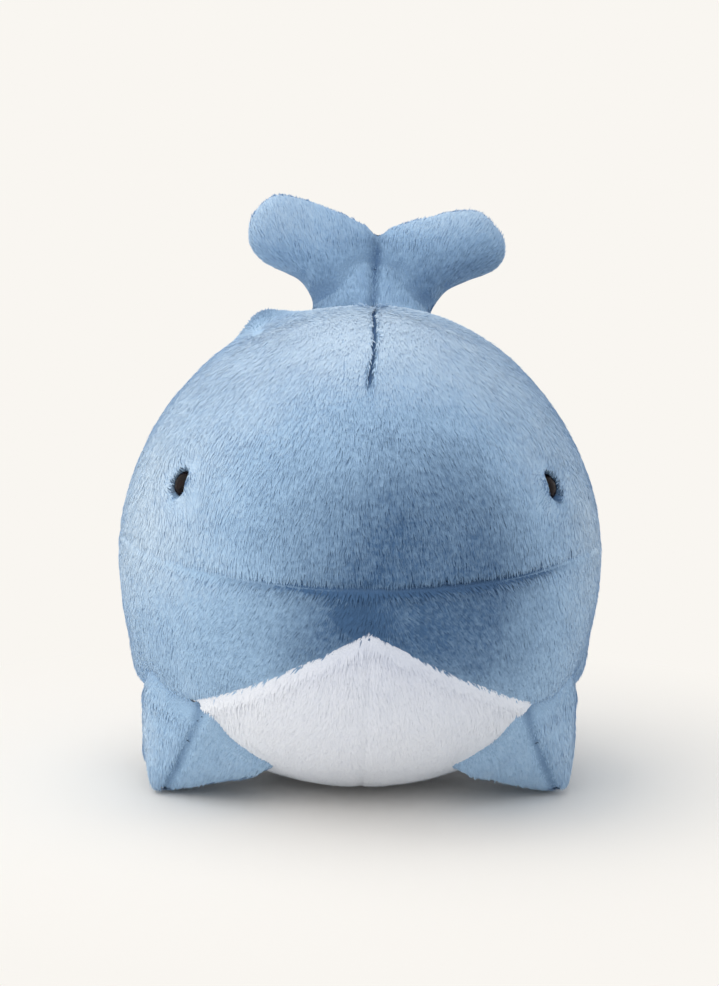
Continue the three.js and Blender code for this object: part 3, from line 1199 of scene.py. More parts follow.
@dataclass(frozen=True)
class BodyForm:
    """The body's outer shape, as the part's source has it, with the finer dips of its seams."""

    width: float = 250.0
    length: float = 270.0
    crown_reach: float = 131.0
    belly_reach: float = 116.5
    floor_press: float = 0.5
    crown_exponent: float = 2.0
    belly_exponent: float = 2.2
    mouth: MouthSeam = field(default_factory=MouthSeam)
    belly: BellySeam = field(default_factory=BellySeam)
    dart: Dart = field(default_factory=Dart)
    socket: EyeSocket = field(default_factory=EyeSocket)
    pucker_height: float = 6.5
    pucker_radius: float = 12.0
    pucker_shares: Span = (-0.4, 0.09)  # of half the width and half the length
    shoulder: Triple = (113.0, -14.0, 59.0)  # where each flipper swells the flank
    shoulder_rise: float = 4.2
    shoulder_radius: float = 15.0
    middle_reach: float = 2.6
    middle_dips: Span = (0.2, 0.6)  # above and on the white belly
    lump: float = 0.7
    lump_grain: float = 46.0
    ripple: float = 0.35
    ripple_grain: float = 17.0
    lean_reach: float = 26.0  # how far from the dart the plush leans with it

    @property
    def middle(self) -> float:
        """The height of the widest level."""
        return self.belly_reach - self.floor_press

    def fall_at(self, height: Array) -> Array:
        """The fall at which the surface has a height.

        Args:
            height: Heights above the floor.

        Returns:
            Falls from 0 at the top to half a turn at the bottom.
        """
        above = np.asarray(height, float) - self.middle
        reach = np.where(above >= 0, self.crown_reach, self.belly_reach)
        exponent = np.where(above >= 0, self.crown_exponent, self.belly_exponent)
        level = np.clip(np.abs(above) / reach, 0.0, 1.0) ** (exponent / 2.0)
        return np.arccos(np.sign(above) * level)

    def mouth_fall(self, turn: Array) -> Array:
        """The mouth seam's fall at each turn."""
        return self.fall_at(self.mouth.height_at(turn))

    def belly_fall(self, turn: Array) -> Array:
        """The fall of the white belly's edge at each turn."""
        return self.fall_at(self.belly.height_at(turn))

    def plain(self, turn: Array, fall: Array, side: float, inset: "Array | float") -> Array:
        """Places on the body without dips.

        Args:
            turn: Turns.
            fall: Falls.
            side: -1 for the left side, 1 for the right.
            inset: How far below the outer surface.

        Returns:
            One place for each turn and fall.
        """
        up = np.cos(fall) >= 0
        exponent = np.where(up, self.crown_exponent, self.belly_exponent)
        reach = np.where(up, self.crown_reach, self.belly_reach) - inset
        spread = np.maximum(np.sin(fall), 0.0) ** (2.0 / exponent)
        rise = np.sign(np.cos(fall)) * np.abs(np.cos(fall)) ** (2.0 / exponent)
        return np.stack(
            [
                side * (self.width / 2.0 - inset) * spread * np.sin(turn),
                -(self.length / 2.0 - inset) * spread * np.cos(turn),
                self.middle + reach * rise,
            ],
            axis=-1,
        )

    def upper_place(self, across: float, back: float) -> Array:
        """Finds a place on the body's upper half.

        Args:
            across: Its share of half the width.
            back: Its share of half the length.

        Returns:
            The place.
        """
        flat_share = math.hypot(across, back) ** self.crown_exponent
        level = (1.0 - flat_share) ** (1.0 / self.crown_exponent)
        height = self.middle + self.crown_reach * level
        return np.array([self.width / 2.0 * across, self.length / 2.0 * back, height])

    def eye_place(self, side: float) -> Array:
        """The middle of an eye."""
        across, back = self.socket.shares
        return self.upper_place(side * across, back)

    def dips(self, place: Array, turn: Array, fall: Array, side: float) -> Array:
        """How far the plush is drawn in at each place, less what swells there.

        Args:
            place: Places on the plain surface.
            turn: Their turns.
            fall: Their falls.
            side: -1 for the left side, 1 for the right.

        Returns:
            The depth at each place.
        """
        to_mouth = (fall - self.mouth_fall(turn)) * self.crown_reach
        to_belly = (fall - self.belly_fall(turn)) * self.belly_reach
        across = np.abs(place[..., 0])
        above, below = self.middle_dips
        middle_seam = bump(across, self.middle_reach) * np.where(to_belly > 0, below, above)
        pucker = Spot(tuple(self.upper_place(*self.pucker_shares)), self.pucker_radius)
        shoulder = Spot(tuple(np.array(self.shoulder) * [side, 1.0, 1.0]), self.shoulder_radius)
        shape, rows = place.shape[:-1], place.reshape(-1, 3)
        lumps = Tousle(Wander.LUMPS).at(rows, self.lump_grain)[:, 0].reshape(shape)
        ripples = Tousle(Wander.RIPPLES).at(rows, self.ripple_grain)[:, 1].reshape(shape)
        return (
            self.mouth.dip * self.mouth.pull(turn, side) * bump(to_mouth, self.mouth.reach)
            + self.belly.dip * bump(to_belly, self.belly.reach)
            + self.socket.dips(place, self.eye_place(side), side)
            - self.shoulder_rise * shoulder.share(place)
            - self.pucker_height * pucker.share(place)
            + self.dart.depth * self.dart.share(place, across, self.dart.reach)
            + middle_seam
            + self.lump * lumps
            + self.ripple * ripples
        )

    def grid(self, turn: Array, fall: Array, side: float) -> Array:
        """Places on the body with its dips, flat where it rests on the floor.

        Args:
            turn: Turns.
            fall: Falls.
            side: -1 for the left side, 1 for the right.

        Returns:
            One place for each turn and fall.
        """
        depth = self.dips(self.plain(turn, fall, side, 0.0), turn, fall, side)
        places = self.plain(turn, fall, side, depth)
        places[..., 0] += self.dart.lean_at(places[..., 2]) * bump(places[..., 0], self.lean_reach)
        places[..., 2] = np.maximum(places[..., 2], 0.0)
        return places

    def above(self, points: Array) -> Array:
        """How far points lie above the body's plain surface, near enough.

        Args:
            points: Places in millimetres.

        Returns:
            The distance, below zero inside the body.
        """
        rise = points[:, 2] - self.middle
        reach = np.where(rise >= 0, self.crown_reach, self.belly_reach)
        exponent = np.where(rise >= 0, self.crown_exponent, self.belly_exponent)
        level = np.hypot(points[:, 0] / (self.width / 2.0), points[:, 1] / (self.length / 2.0))
        size = (level**exponent + np.abs(rise / reach) ** exponent) ** (1.0 / exponent)
        away = np.linalg.norm(np.stack([points[:, 0], points[:, 1], rise], axis=1), axis=1)
        return away * (1.0 - 1.0 / np.maximum(size, 1e-6))

    def outward(self, points: Array) -> Array:
        """The directions that lead out of the body at some points.

        Args:
            points: The points.

        Returns:
            Unit vectors.
        """
        rise = points[:, 2] - self.middle
        reach = np.where(rise >= 0, self.crown_reach, self.belly_reach)
        across = points[:, 0] / (self.width / 2.0) ** 2
        back = points[:, 1] / (self.length / 2.0) ** 2
        return unit(np.stack([across, back, rise / reach**2], axis=1))


@dataclass(frozen=True)
class BrushMark(Spot):
    """A patch where the nap is turned, in degrees, and the pile is painted paler with painted light
    or darker with painted shade.
    """

    # painted light above 0, painted shade below 0
    tone: float
    turn: float = 0.0


def with_marks(tone: Array, points: Array, marks: list[BrushMark]) -> Array:
    """Adds the marks' painted light and shade to the tone of some points.

    Args:
        tone: The tone so far.
        points: The points.
        marks: The marks.

    Returns:
        The tone with the marks.
    """
    for mark in marks:
        tone = tone + mark.tone * mark.share(points)
    return tone


NAP_OUTWARD = {Band.CROWN: 0.10, Band.FLANK: 0.75, Band.BELLY: 0.45}  # at the front


@dataclass
class BodyPanel:
    """One of the six panels of the body."""

    form: BodyForm
    band: Band
    side: Side
    pile: Pile
    marks: list[BrushMark] = field(default_factory=list)
    columns: int = 250
    rows: int = 130
    backing_columns: int = 110
    backing_rows: int = 60
    backing_thickness: float = 1.2
    flank_lap: float = 3.0  # how far the flank's pile reaches up under the crown's
    column_exponent: float = 1.5  # above 1, so that the columns are closer together at the nose
    outward_turn: float = 1.1
    outward_edges: Span = (2.0, 26.0)
    swept_heights: Span = (226.0, 240.0)  # where the crown's nap starts to lie over the top
    swept_aside: Span = (1.0, 7.0)
    swept_middle: float = -14.0  # where it lies straight outward
    swept_half: float = 18.0

    @property
    def name(self) -> str:
        """The panel's name."""
        return f"{self.band.value}_{self.side.word}"

    def edges(self, turn: Array) -> tuple[Array, Array]:
        """Finds where the panel starts and ends.

        Args:
            turn: Turns.

        Returns:
            The falls of its upper and its lower edge at each turn.
        """
        mouth, belly = self.form.mouth_fall(turn), self.form.belly_fall(turn)
        if self.band is Band.CROWN:
            return np.zeros_like(turn), mouth
        if self.band is Band.FLANK:
            return mouth, belly
        return belly, np.full_like(turn, math.pi)

    def row_shares(self) -> Array:
        """Where the rows lie from the upper edge to the lower, closer together at the mouth.

        Returns:
            Shares from 0 to 1.
        """
        even = np.linspace(0.0, 1.0, self.rows)
        if self.band is Band.CROWN:
            return 0.5 * even + 0.5 * np.sin(even * math.pi / 2.0)
        if self.band is Band.FLANK:
            return 0.5 * even + 0.25 * (1.0 - np.cos(even * math.pi))
        return even

    def triangles(self) -> Array:
        """The triangles between the panel's rows and columns, facing outward.

        Returns:
            Three numbers of points for each.
        """
        numbers = np.arange(self.rows * self.columns).reshape(self.rows, self.columns)
        a, b, c, d = numbers[:-1, :-1], numbers[1:, :-1], numbers[1:, 1:], numbers[:-1, 1:]
        halves = [np.stack([a, b, c], axis=-1), np.stack([a, c, d], axis=-1)]
        triangles = np.concatenate([half.reshape(-1, 3) for half in halves])
        return triangles[:, ::-1] if self.side is Side.LEFT else triangles

    def sheet(self, lap: float = 0.0) -> Sheet:
        """Lays out the panel's cloth and its nap.

        Args:
            lap: How far its upper edge reaches up under the panel above.

        Returns:
            The sheet, with the nap's direction, length and tone at each point.
        """
        columns = np.linspace(0.0, 1.0, self.columns)[None, :] ** self.column_exponent
        turn = math.pi * columns * np.ones((self.rows, 1))
        top, bottom = self.edges(turn)
        top = top - lap / self.form.crown_reach
        fall = top + (bottom - top) * self.row_shares()[:, None]
        side = self.side.value
        places = self.form.grid(turn, fall, side)
        down = np.gradient(places, axis=0, edge_order=2)
        around = np.gradient(places, axis=1, edge_order=2)
        facing = np.cross(around, down)
        thin = np.linalg.norm(facing, axis=-1, keepdims=True) < 1e-4  # the pole has no facing
        plain_out = unit(places - np.array([0.0, 0.0, self.form.middle]))
        normals = np.where(thin, plain_out, unit(facing * -side)).reshape(-1, 3)
        points, turn, fall = places.reshape(-1, 3), turn.ravel(), fall.ravel()
        flow = self.flow(points, unit(down.reshape(-1, 3)), normals, turn)
        nap, tone = self.nap(points, turn, fall), self.tone(points, turn, fall)
        return Sheet(points, normals, flow, self.triangles(), nap, tone)

    def flow(self, points: Array, down: Array, normals: Array, turn: Array) -> Array:
        """The way the nap lies: down, outward at the front and towards the nose by the eyes.

        Args:
            points: The panel's points.
            down: The way down along the panel at each point.
            normals: The panel's normals.
            turn: The turn of each point.

        Returns:
            A direction in the surface for each point.
        """
        side = float(self.side.value)
        outward = along_surface(np.tile([side, 0.0, 0.0], (len(points), 1)), normals)
        spread = NAP_OUTWARD[self.band] * bump(turn, self.outward_turn)
        spread = spread * fade(np.abs(points[:, 0]), *self.outward_edges)
        flow = along_surface(down + spread[:, None] * outward, normals)
        if self.band is Band.CROWN:
            flow = self.swept_over(points, flow, normals)
        for mark in self.marks:
            flow = turned(flow, normals, math.radians(mark.turn) * mark.share(points))
        socket = self.form.socket
        near = bump(distance(points, self.form.eye_place(side)), socket.sweep_radius)[:, None]
        return along_surface(flow - socket.sweep * near * socket.outward(side), normals)

    def swept_over(self, points: Array, flow: Array, normals: Array) -> Array:
        """Lays the nap over the top of the crown: back behind its middle, forward before it.

        Args:
            points: The panel's points.
            flow: The way that the nap lies so far.
            normals: The panel's normals.

        Returns:
            The way that it lies after that.
        """
        aside = np.abs(points[:, 0] - self.form.dart.lean_at(points[:, 2]))
        top = (fade(points[:, 2], *self.swept_heights) * fade(aside, *self.swept_aside))[:, None]
        back = np.clip((points[:, 1] - self.swept_middle) / self.swept_half, -1.0, 1.0)
        angle = 0.5 * math.pi * back
        swept = np.stack([np.cos(angle), np.sin(angle), 0.0 * angle], axis=1)
        return along_surface((1.0 - top) * flow + top * swept, normals)

    def mouth_line(self, turn: Array, fall: Array) -> Array:
        """How much each point of a flank lies in the line of the mouth, where the pile is shorter
        and a painted shadow falls under the crown's tufts.

        Args:
            turn: Their turns.
            fall: Their falls.

        Returns:
            Shares from 0 to 1.
        """
        mouth, start = self.form.mouth, self.form.mouth_fall(turn)
        below = (fall - start) * self.form.crown_reach
        first, last = mouth.line_edges
        return self.pull(turn) * fade(below, mouth.line + first, mouth.line + last)

    def pull(self, turn: Array) -> Array:
        """How firmly the mouth's thread holds at each turn, 1 at most."""
        return np.minimum(self.form.mouth.pull(turn, self.side.value), 1.0)

    def to_mouth(self, turn: Array, fall: Array) -> Array:
        """How far each point lies from the mouth seam, up or down the panel."""
        return np.abs(fall - self.form.mouth_fall(turn)) * self.form.crown_reach

    def dart(self, points: Array) -> Array:
        """How much of the dart each point gets, for its shorter pile and its painted crease shade.

        Args:
            points: The panel's points.

        Returns:
            Shares from 0 to 1.
        """
        dart = self.form.dart
        across = points[:, 0] - dart.lean_at(points[:, 2])
        return dart.share(points, across, dart.dark_reach)

    def nap(self, points: Array, turn: Array, fall: Array) -> Array:
        """How long the pile is.

        Args:
            points: The panel's points.
            turn: Their turns.
            fall: Their falls.

        Returns:
            The length as a share of the full pile.
        """
        form, mouth, side = self.form, self.form.mouth, self.side.value
        held = self.pull(turn) * bump(self.to_mouth(turn, fall), mouth.thin_reach)
        nap = form.socket.cropped(1.0 - mouth.thinning * held, points, form.eye_place(side), side)
        if self.band is Band.CROWN:
            nap = nap - form.dart.thinning * self.dart(points)
        if self.band is Band.FLANK:
            nap = nap * (1.0 - mouth.line_thinning * self.mouth_line(turn, fall))
        return nap

    def tone(self, points: Array, turn: Array, fall: Array) -> Array:
        """How pale the pile is, with painted light and shade.

        Args:
            points: The panel's points.
            turn: Their turns.
            fall: Their falls.

        Returns:
            The tone, below 0 where painted shade makes it darker and above 0 where painted light
            makes it paler.
        """
        form, mouth, side = self.form, self.form.mouth, self.side.value
        tone = form.socket.tone(points, form.eye_place(side), side)
        if self.band is Band.CROWN:
            # painted shade along the crown's rim at the mouth and in the dart's crease
            rim = self.pull(turn) * fade(self.to_mouth(turn, fall), *mouth.rim_edges)
            tone = tone - form.dart.dark * self.dart(points) - mouth.rim_dark * rim
        if self.band is Band.FLANK:
            # painted shadow under the crown's tufts
            tone = tone - mouth.line_dark * self.mouth_line(turn, fall)
        return with_marks(tone, points, self.marks)

    def build(self, finishes: Finishes) -> None:
        """Makes the panel's backing and pile as one piece.

        Args:
            finishes: The toy's materials.
        """
        sheet = self.sheet(self.flank_lap if self.band is Band.FLANK else 0.0)
        coarse = replace(self, columns=self.backing_columns, rows=self.backing_rows)
        seed = 100 + 10 * list(Band).index(self.band) + (self.side is Side.RIGHT)
        white = self.band is Band.BELLY
        piece = plush_piece(
            name=f"{self.name}_plush",
            sheet=sheet,
            cloth=coarse.sheet(),
            pile=self.pile,
            thickness=self.backing_thickness,
            seed=seed,
            finishes=finishes.white if white else finishes.blue,
        )
        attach(piece, "body")
        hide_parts(self.name)


@dataclass
class Body:
    """The body: six plush panels round a ball of stuffing, with two eyes."""

    form: BodyForm = field(default_factory=BodyForm)
    pile: Pile = field(default_factory=Pile)
    belly_pile: Pile = field(default_factory=lambda: Pile(length=6.0, width=0.85, tip_angle=2.0))

    def marks(self) -> list[BrushMark]:
        """The brush marks of the body, which turn its nap, and its painted light and shade: paler
        patches on the top and the sides, darker ones under the mouth, on the front, on the lower
        left flank and on the pucker.

        Returns:
            The marks.
        """
        return [
            BrushMark((-3.0, -131.0, 112.0), 9.0, -0.3, 40.0),
            BrushMark((14.0, -131.0, 112.0), 6.0, 0.12, -30.0),
            BrushMark((0.0, -40.0, 245.0), 75.0, 0.45),
            BrushMark((-118.0, -50.0, 150.0), 60.0, 0.48),
            BrushMark((-112.0, -70.0, 90.0), 45.0, -0.12),
            BrushMark((95.0, -80.0, 190.0), 45.0, 0.12),
            BrushMark((120.0, -40.0, 140.0), 45.0, 0.3),
            BrushMark((0.0, -40.0, 250.0), 30.0, 0.1),
            BrushMark((-50.0, 12.0, 236.0), 18.0, -0.6),
            BrushMark((0.0, -133.0, 106.0), 48.0, -0.36),
            BrushMark((55.0, -118.0, 106.0), 44.0, -0.26),
            BrushMark((14.0, -120.0, 168.0), 60.0, -0.28),
            BrushMark((70.0, -100.0, 160.0), 40.0, -0.1),
        ]

    def build(self, finishes: Finishes) -> None:
        """Makes the panels and the stuffing, and dresses the eyes.

        Args:
            finishes: The toy's materials.
        """
        for band in Band:
            for side in Side:
                pile = self.belly_pile if band is Band.BELLY else self.pile
                BodyPanel(self.form, band, side, pile, self.marks()).build(finishes)
        Stuffing("body_fill", "body", voxel=5.0, lump=1.0, slack=3.0, fill=0.9).build(finishes)
        self.dress_eyes(finishes)

    def dress_eyes(self, finishes: Finishes) -> None:
        """Gives the eyes and their washers their plastics.

        Args:
            finishes: The toy's materials.
        """
        for side in Side:
            for kind, finish in (("eye", finishes.eye), ("eye_washer", finishes.washer)):
                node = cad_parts[f"{kind}_{side.word}"]
                node.data.materials.clear()
                node.data.materials.append(finish)
                node.data.shade_smooth()
                log.info("%s: dressed", node.name)


# Stuffed forms made from the solids


def remeshed(sources: list[bpy.types.Object], name: str, voxel: float) -> bpy.types.Object:
    """Joins copies of some solids into one closed skin.

    Args:
        sources: The solids.
        name: The new object's name.
        voxel: The size of the remesh, in millimetres.

    Returns:
        The skin's object, without the small shells that gaps leave inside it.
    """
    joined = bmesh.new()
    for source in sources:
        joined.from_mesh(source.data)
    mesh = bpy.data.meshes.new(name)
    joined.to_mesh(mesh)
    joined.free()
    piece = bpy.data.objects.new(name, mesh)
    bpy.context.scene.collection.objects.link(piece)
    remesh = piece.modifiers.new("Remesh", "REMESH")
    remesh.mode = "VOXEL"
    remesh.voxel_size = voxel * MM
    settle(piece)
    keep_largest(piece)
    return piece


def settle(piece: bpy.types.Object) -> None:
    """Applies a piece's modifiers to its mesh.

    Args:
        piece: The piece.
    """
    graph = bpy.context.evaluated_depsgraph_get()
    mesh = bpy.data.meshes.new_from_object(piece.evaluated_get(graph), depsgraph=graph)
    piece.modifiers.clear()
    piece.data = mesh


def keep_largest(piece: bpy.types.Object) -> None:
    """Deletes all but the largest closed shell of a mesh.

    Args:
        piece: The mesh's object.
    """
    work = bmesh.new()
    work.from_mesh(piece.data)
    work.verts.ensure_lookup_table()
    group = {}
    shells = []
    for start in work.verts:
        if start in group:
            continue
        shell, waiting = [], [start]
        group[start] = len(shells)
        while waiting:
            vertex = waiting.pop()
            shell.append(vertex)
            for edge in vertex.link_edges:
                other = edge.other_vert(vertex)
                if other not in group:
                    group[other] = len(shells)
                    waiting.append(other)
        shells.append(shell)
    shells.sort(key=len)
    gone = [vertex for shell in shells[:-1] for vertex in shell]
    bmesh.ops.delete(work, geom=gone, context="VERTS")
    work.to_mesh(piece.data)
    work.free()


def coordinates(mesh: bpy.types.Mesh) -> Array:
    """The mesh's points, in millimetres.

    Args:
        mesh: The mesh.

    Returns:
        One row for each point.
    """
    places = np.zeros(len(mesh.vertices) * 3, np.float32)
    mesh.vertices.foreach_get("co", places)
    return places.reshape(-1, 3).astype(float) / MM


def place_points(mesh: bpy.types.Mesh, points: Array) -> None:
    """Moves the mesh's points, given in millimetres."""
    mesh.vertices.foreach_set("co", (points * MM).astype(np.float32).ravel())
    mesh.update()


def smoothed(mesh: bpy.types.Mesh, points: Array, times: int, share: float = 0.5) -> Array:
    """Evens points out towards their neighbours.

    Args:
        mesh: The mesh whose edges say who is a neighbour.
        points: The points.
        times: How often.
        share: How far each time.

    Returns:
        The new points.
    """
    ends = np.zeros(len(mesh.edges) * 2, np.int32)
    mesh.edges.foreach_get("vertices", ends)
    first, second = ends.reshape(-1, 2).T
    for _ in range(times):
        total, count = np.zeros_like(points), np.zeros(len(points))
        for here, there in ((first, second), (second, first)):
            np.add.at(total, here, points[there])
            np.add.at(count, here, 1.0)
        points = points + share * (total / np.maximum(count, 1.0)[:, None] - points)
    return points


def rounded(mesh: bpy.types.Mesh, points: Array, times: int) -> Array:
    """Evens points out without shrinking the whole.

    Args:
        mesh: The mesh whose edges say who is a neighbour.
        points: The points.
        times: How often.

    Returns:
        The new points.
    """
    for _ in range(times):
        points = smoothed(mesh, points, 1, 0.5)
        points = smoothed(mesh, points, 1, -0.51)
    return points


def puffed(
    piece: bpy.types.Object, held: Array, pressure: float, cap: float, steps: int = 20
) -> None:
    """Swells a skin as stuffing does, by a cloth simulation.

    Args:
        piece: The skin.
        held: How firmly each point is held, from 0 to 1.
        pressure: The pressure inside.
        cap: The furthest that a point may move, in millimetres.
        steps: How many steps are simulated.
    """
    rest = coordinates(piece.data)
    pins = piece.vertex_groups.new(name="held")
    for level in np.unique(np.round(held, 1)):
        members = np.flatnonzero(np.round(held, 1) == level)
        pins.add(members.tolist(), float(level), "REPLACE")
    cloth = piece.modifiers.new("Cloth", "CLOTH")
    cloth.settings.quality = 6
    cloth.settings.mass = 0.2
    cloth.settings.tension_stiffness = 12.0
    cloth.settings.compression_stiffness = 12.0
    cloth.settings.shear_stiffness = 5.0
    cloth.settings.bending_stiffness = 0.4
    cloth.settings.air_damping = 4.0
    cloth.settings.use_pressure = True
    cloth.settings.uniform_pressure_force = pressure
    cloth.settings.vertex_group_mass = pins.name
    cloth.settings.effector_weights.gravity = 0.0
    cloth.collision_settings.use_collision = False
    cloth.point_cache.frame_start, cloth.point_cache.frame_end = 1, steps
    scene = bpy.context.scene
    for step in range(1, steps + 1):
        scene.frame_set(step)
    settle(piece)
    scene.frame_set(1)
    moved = coordinates(piece.data) - rest
    far = np.linalg.norm(moved, axis=1, keepdims=True)
    place_points(piece.data, rest + moved * np.minimum(1.0, cap / np.maximum(far, 1e-9)))


def vertex_normals(mesh: bpy.types.Mesh) -> Array:
    """The mesh's normals at its points.

    Args:
        mesh: The mesh.

    Returns:
        One row for each point.
    """
    normals = np.zeros(len(mesh.vertices) * 3, np.float32)
    mesh.vertex_normals.foreach_get("vector", normals)
    return normals.reshape(-1, 3).astype(float)


@dataclass(frozen=True)
class Stuffing:
    """A ball of loose fibre in the place of a solid."""

    node: str
    body: str
    voxel: float
    lump: float  # how deep the dents between its lumps are
    slack: float  # how far its lumps stay below the solid's surface
    fill: float
    lump_grain: float = 12.0
    dent_grain: float = 5.0
    dent_share: float = 0.6

    def build(self, finishes: Finishes) -> None:
        """Makes the ball, a little smaller than the solid.

        Args:
            finishes: The toy's materials.
        """
        piece = remeshed([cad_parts[self.node]], f"{self.body}_stuffing", self.voxel)
        points = smoothed(piece.data, coordinates(piece.data), 2)
        normals = vertex_normals(piece.data)
        lumps = Tousle(Wander.FIBRE_LUMPS).at(points, self.lump_grain)[:, 0]
        dents = Tousle(Wander.FIBRE_DENTS).at(points, self.dent_grain)[:, 1]
        dents = np.abs(lumps) + self.dent_share * np.abs(dents)
        place_points(piece.data, points - normals * (self.slack + self.lump * dents)[:, None])
        piece.data.shade_smooth()
        piece.data.materials.append(finishes.stuffing)
        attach(piece, self.body)
        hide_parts(self.node)
        log.info("%s: %d triangles", piece.name, len(piece.data.polygons))


@dataclass(frozen=True)
class Cut:
    """A plane along which a limb's cover is sewn."""

    point: Triple
    normal: Triple
    groove: float  # how deep the thread draws the cover in

    def above(self, points: Array) -> Array:
        """How far points lie on the plane's far side."""
        return (points - np.array(self.point)) @ unit(np.array(self.normal))


@dataclass(frozen=True)
class LimbPanel:
    """One panel of a limb: its node, and on which side of each cut it lies."""

    node: str
    signs: tuple[int, ...]


@dataclass(frozen=True)
class Shove(Spot):
    """A soft push on a limb's skin, as a hand gives."""

    move: Triple


@dataclass
class Limb:
    """A stuffed limb: a skin drawn over the solids, swelled, cut into panels and furred.

    Spans of heights above the body run from where an effect leaves 0 to where it is full.
    """

    body: str
    panels: list[LimbPanel]
    cuts: list[Cut]
    form: BodyForm
    pile: Pile
    seed: int
    blend_start: Triple
    blend_end: Triple
    voxel: float = 3.0
    rounds: int = 12  # how often the remesh's steps are evened out
    soften: int = 0  # how often the skin's edges are rounded off
    slack: float = 0.5  # how much smaller the skin is before it swells
    held: Span = (14.0, 1.0)  # where the body holds the skin as it swells
    pressure: float = 3.0
    swell: float = 3.0  # the furthest that a point may swell
    later_rounds: int = 4
    sink: float = 3.8  # how far the root is sunk into the body's skin
    sink_reach: float = 7.0  # and how high above it that reaches
    lump: float = 0.7
    lump_grain: float = 21.0
    groove_reach: float = 3.2
    seam_tone: float = -0.2
    seam_reach: float = 2.5
    seam_thinning: float = 0.4
    rim_trim: float = 0.3  # how much shorter the pile is along the first seam
    rim_reach: float = 7.0
    root_thinning: float = 0.55
    root_heights: Span = (5.0, 0.5)
    buried_heights: Span = (0.3, -1.0)  # the pile that lies in the body's skin is left out
    buried_facing: Span = (0.5, 0.0)
    backing_thickness: float = 0.4
    nap_outward: float = 0.3
    marks: list[BrushMark] = field(default_factory=list)
    shoves: list[Shove] = field(default_factory=list)

    @property
    def fill(self) -> str:
        """The node of the limb's stuffing."""
        return f"{self.body}_fill"

    def skin(self) -> bpy.types.Object:
        """Makes the limb's whole skin, at the pile's tips.

        Returns:
            The skin's object.
        """
        nodes = [panel.node for panel in self.panels] + [self.fill]
        solids = [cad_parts[node] for node in nodes]
        piece = remeshed(solids, f"{self.body}_skin", self.voxel)
        points = rounded(piece.data, coordinates(piece.data), self.rounds)
        points = smoothed(piece.data, points, self.soften)
        start, full = self.held
        held = 1.0 - fade(self.form.above(points), full, start)
        normals = vertex_normals(piece.data)
        place_points(piece.data, points - self.slack * normals * (1.0 - held)[:, None])
        puffed(piece, held, self.pressure, self.swell)
        points = rounded(piece.data, coordinates(piece.data), self.later_rounds)
        sink = self.sink * (1.0 - fade(self.form.above(points), 0.0, self.sink_reach))
        points = points - self.form.outward(points) * sink[:, None]
        for shove in self.shoves:
            points = points + shove.share(points)[:, None] * shove.move
        points[:, 2] = np.maximum(points[:, 2], 0.0)
        place_points(piece.data, points)
        return piece

    def cut_skin(self, piece: bpy.types.Object) -> tuple[Array, Array, Array]:
        """Cuts the skin along its seams and draws it in there.

        Args:
            piece: The skin.

        Returns:
            The points, normals and triangles of the cut skin.
        """
        finer = piece.modifiers.new("Subdivision", "SUBSURF")
        finer.levels = finer.render_levels = 1
        settle(piece)
        work = bmesh.new()
        work.from_mesh(piece.data)
        for cut in self.cuts:
            bmesh.ops.bisect_plane(
                work,
                geom=work.verts[:] + work.edges[:] + work.faces[:],
                dist=1e-7,
                plane_co=Vector(cut.point) * MM,
                plane_no=Vector(cut.normal),
            )
        bmesh.ops.triangulate(work, faces=work.faces[:])
        work.to_mesh(piece.data)
        work.free()
        points = coordinates(piece.data)
        normals = vertex_normals(piece.data)
        for cut in self.cuts:
            groove = cut.groove * bump(cut.above(points), self.groove_reach)
            points = points - normals * groove[:, None]
        lumps = Tousle(Wander.LIMB_LUMPS).at(points, self.lump_grain)[:, :1]
        points = points - normals * (self.lump * lumps)
        points[:, 2] = np.maximum(points[:, 2], 0.0)
        place_points(piece.data, points)
        corners = np.zeros(len(piece.data.polygons) * 3, np.int32)
        piece.data.loops.foreach_get("vertex_index", corners)
        return points, vertex_normals(piece.data), corners.reshape(-1, 3)

    def flow(self, points: Array, normals: Array) -> Array:
        """The way the nap lies: down and a little outward, unless a kind of limb says else."""
        outward = self.nap_outward * unit(points * [1.0, 0.2, 0.0])
        return along_surface(np.array([0.0, 0.0, -1.0]) + outward, normals)

    def nap(self, points: Array, normals: Array, seam: Array) -> Array:
        """How long the pile is.

        Args:
            points: The panel's points.
            normals: Their normals.
            seam: How near each is to a seam, from 0 to 1.

        Returns:
            The length as a share of the full pile.
        """
        gap = self.form.above(points)
        facing_in = fade(
            np.sum(normals * self.form.outward(points), axis=1), *self.buried_facing
        )
        rim = bump(self.cuts[0].above(points), self.rim_reach)
        nap = (1.0 - self.seam_thinning * seam) * (1.0 - self.rim_trim * rim)
        nap = nap * (1.0 - self.root_thinning * fade(gap, *self.root_heights))
        return nap * (1.0 - facing_in * fade(gap, *self.buried_heights))

    def build(self, finishes: Finishes) -> None:
        """Makes the limb's panels and its stuffing.

        Args:
            finishes: The toy's materials.
        """
        skin = self.skin()
        points, normals, triangles = self.cut_skin(skin)
        bpy.data.objects.remove(skin)
        middles = points[triangles].mean(axis=1)
        flow = self.flow(points, normals)
        for number, panel in enumerate(self.panels):
            inside = np.ones(len(triangles), bool)
            for sign, cut in zip(panel.signs, self.cuts):
                inside &= sign * cut.above(middles) >= 0
            used, corners = np.unique(triangles[inside], return_inverse=True)
            here, facing = points[used], normals[used]
            seam = np.minimum(sum(bump(cut.above(here), self.seam_reach) for cut in self.cuts), 1.0)
            sheet = Sheet(
                points=here,
                normals=facing,
                flow=flow[used],
                triangles=corners.reshape(-1, 3),
                nap=self.nap(here, facing, seam),
                tone=with_marks(self.seam_tone * seam, here, self.marks),
            )
            self.build_panel(panel, sheet, self.seed + number, finishes)
        Stuffing(self.fill, self.body, voxel=3.0, lump=0.8, slack=2.0, fill=0.85).build(finishes)

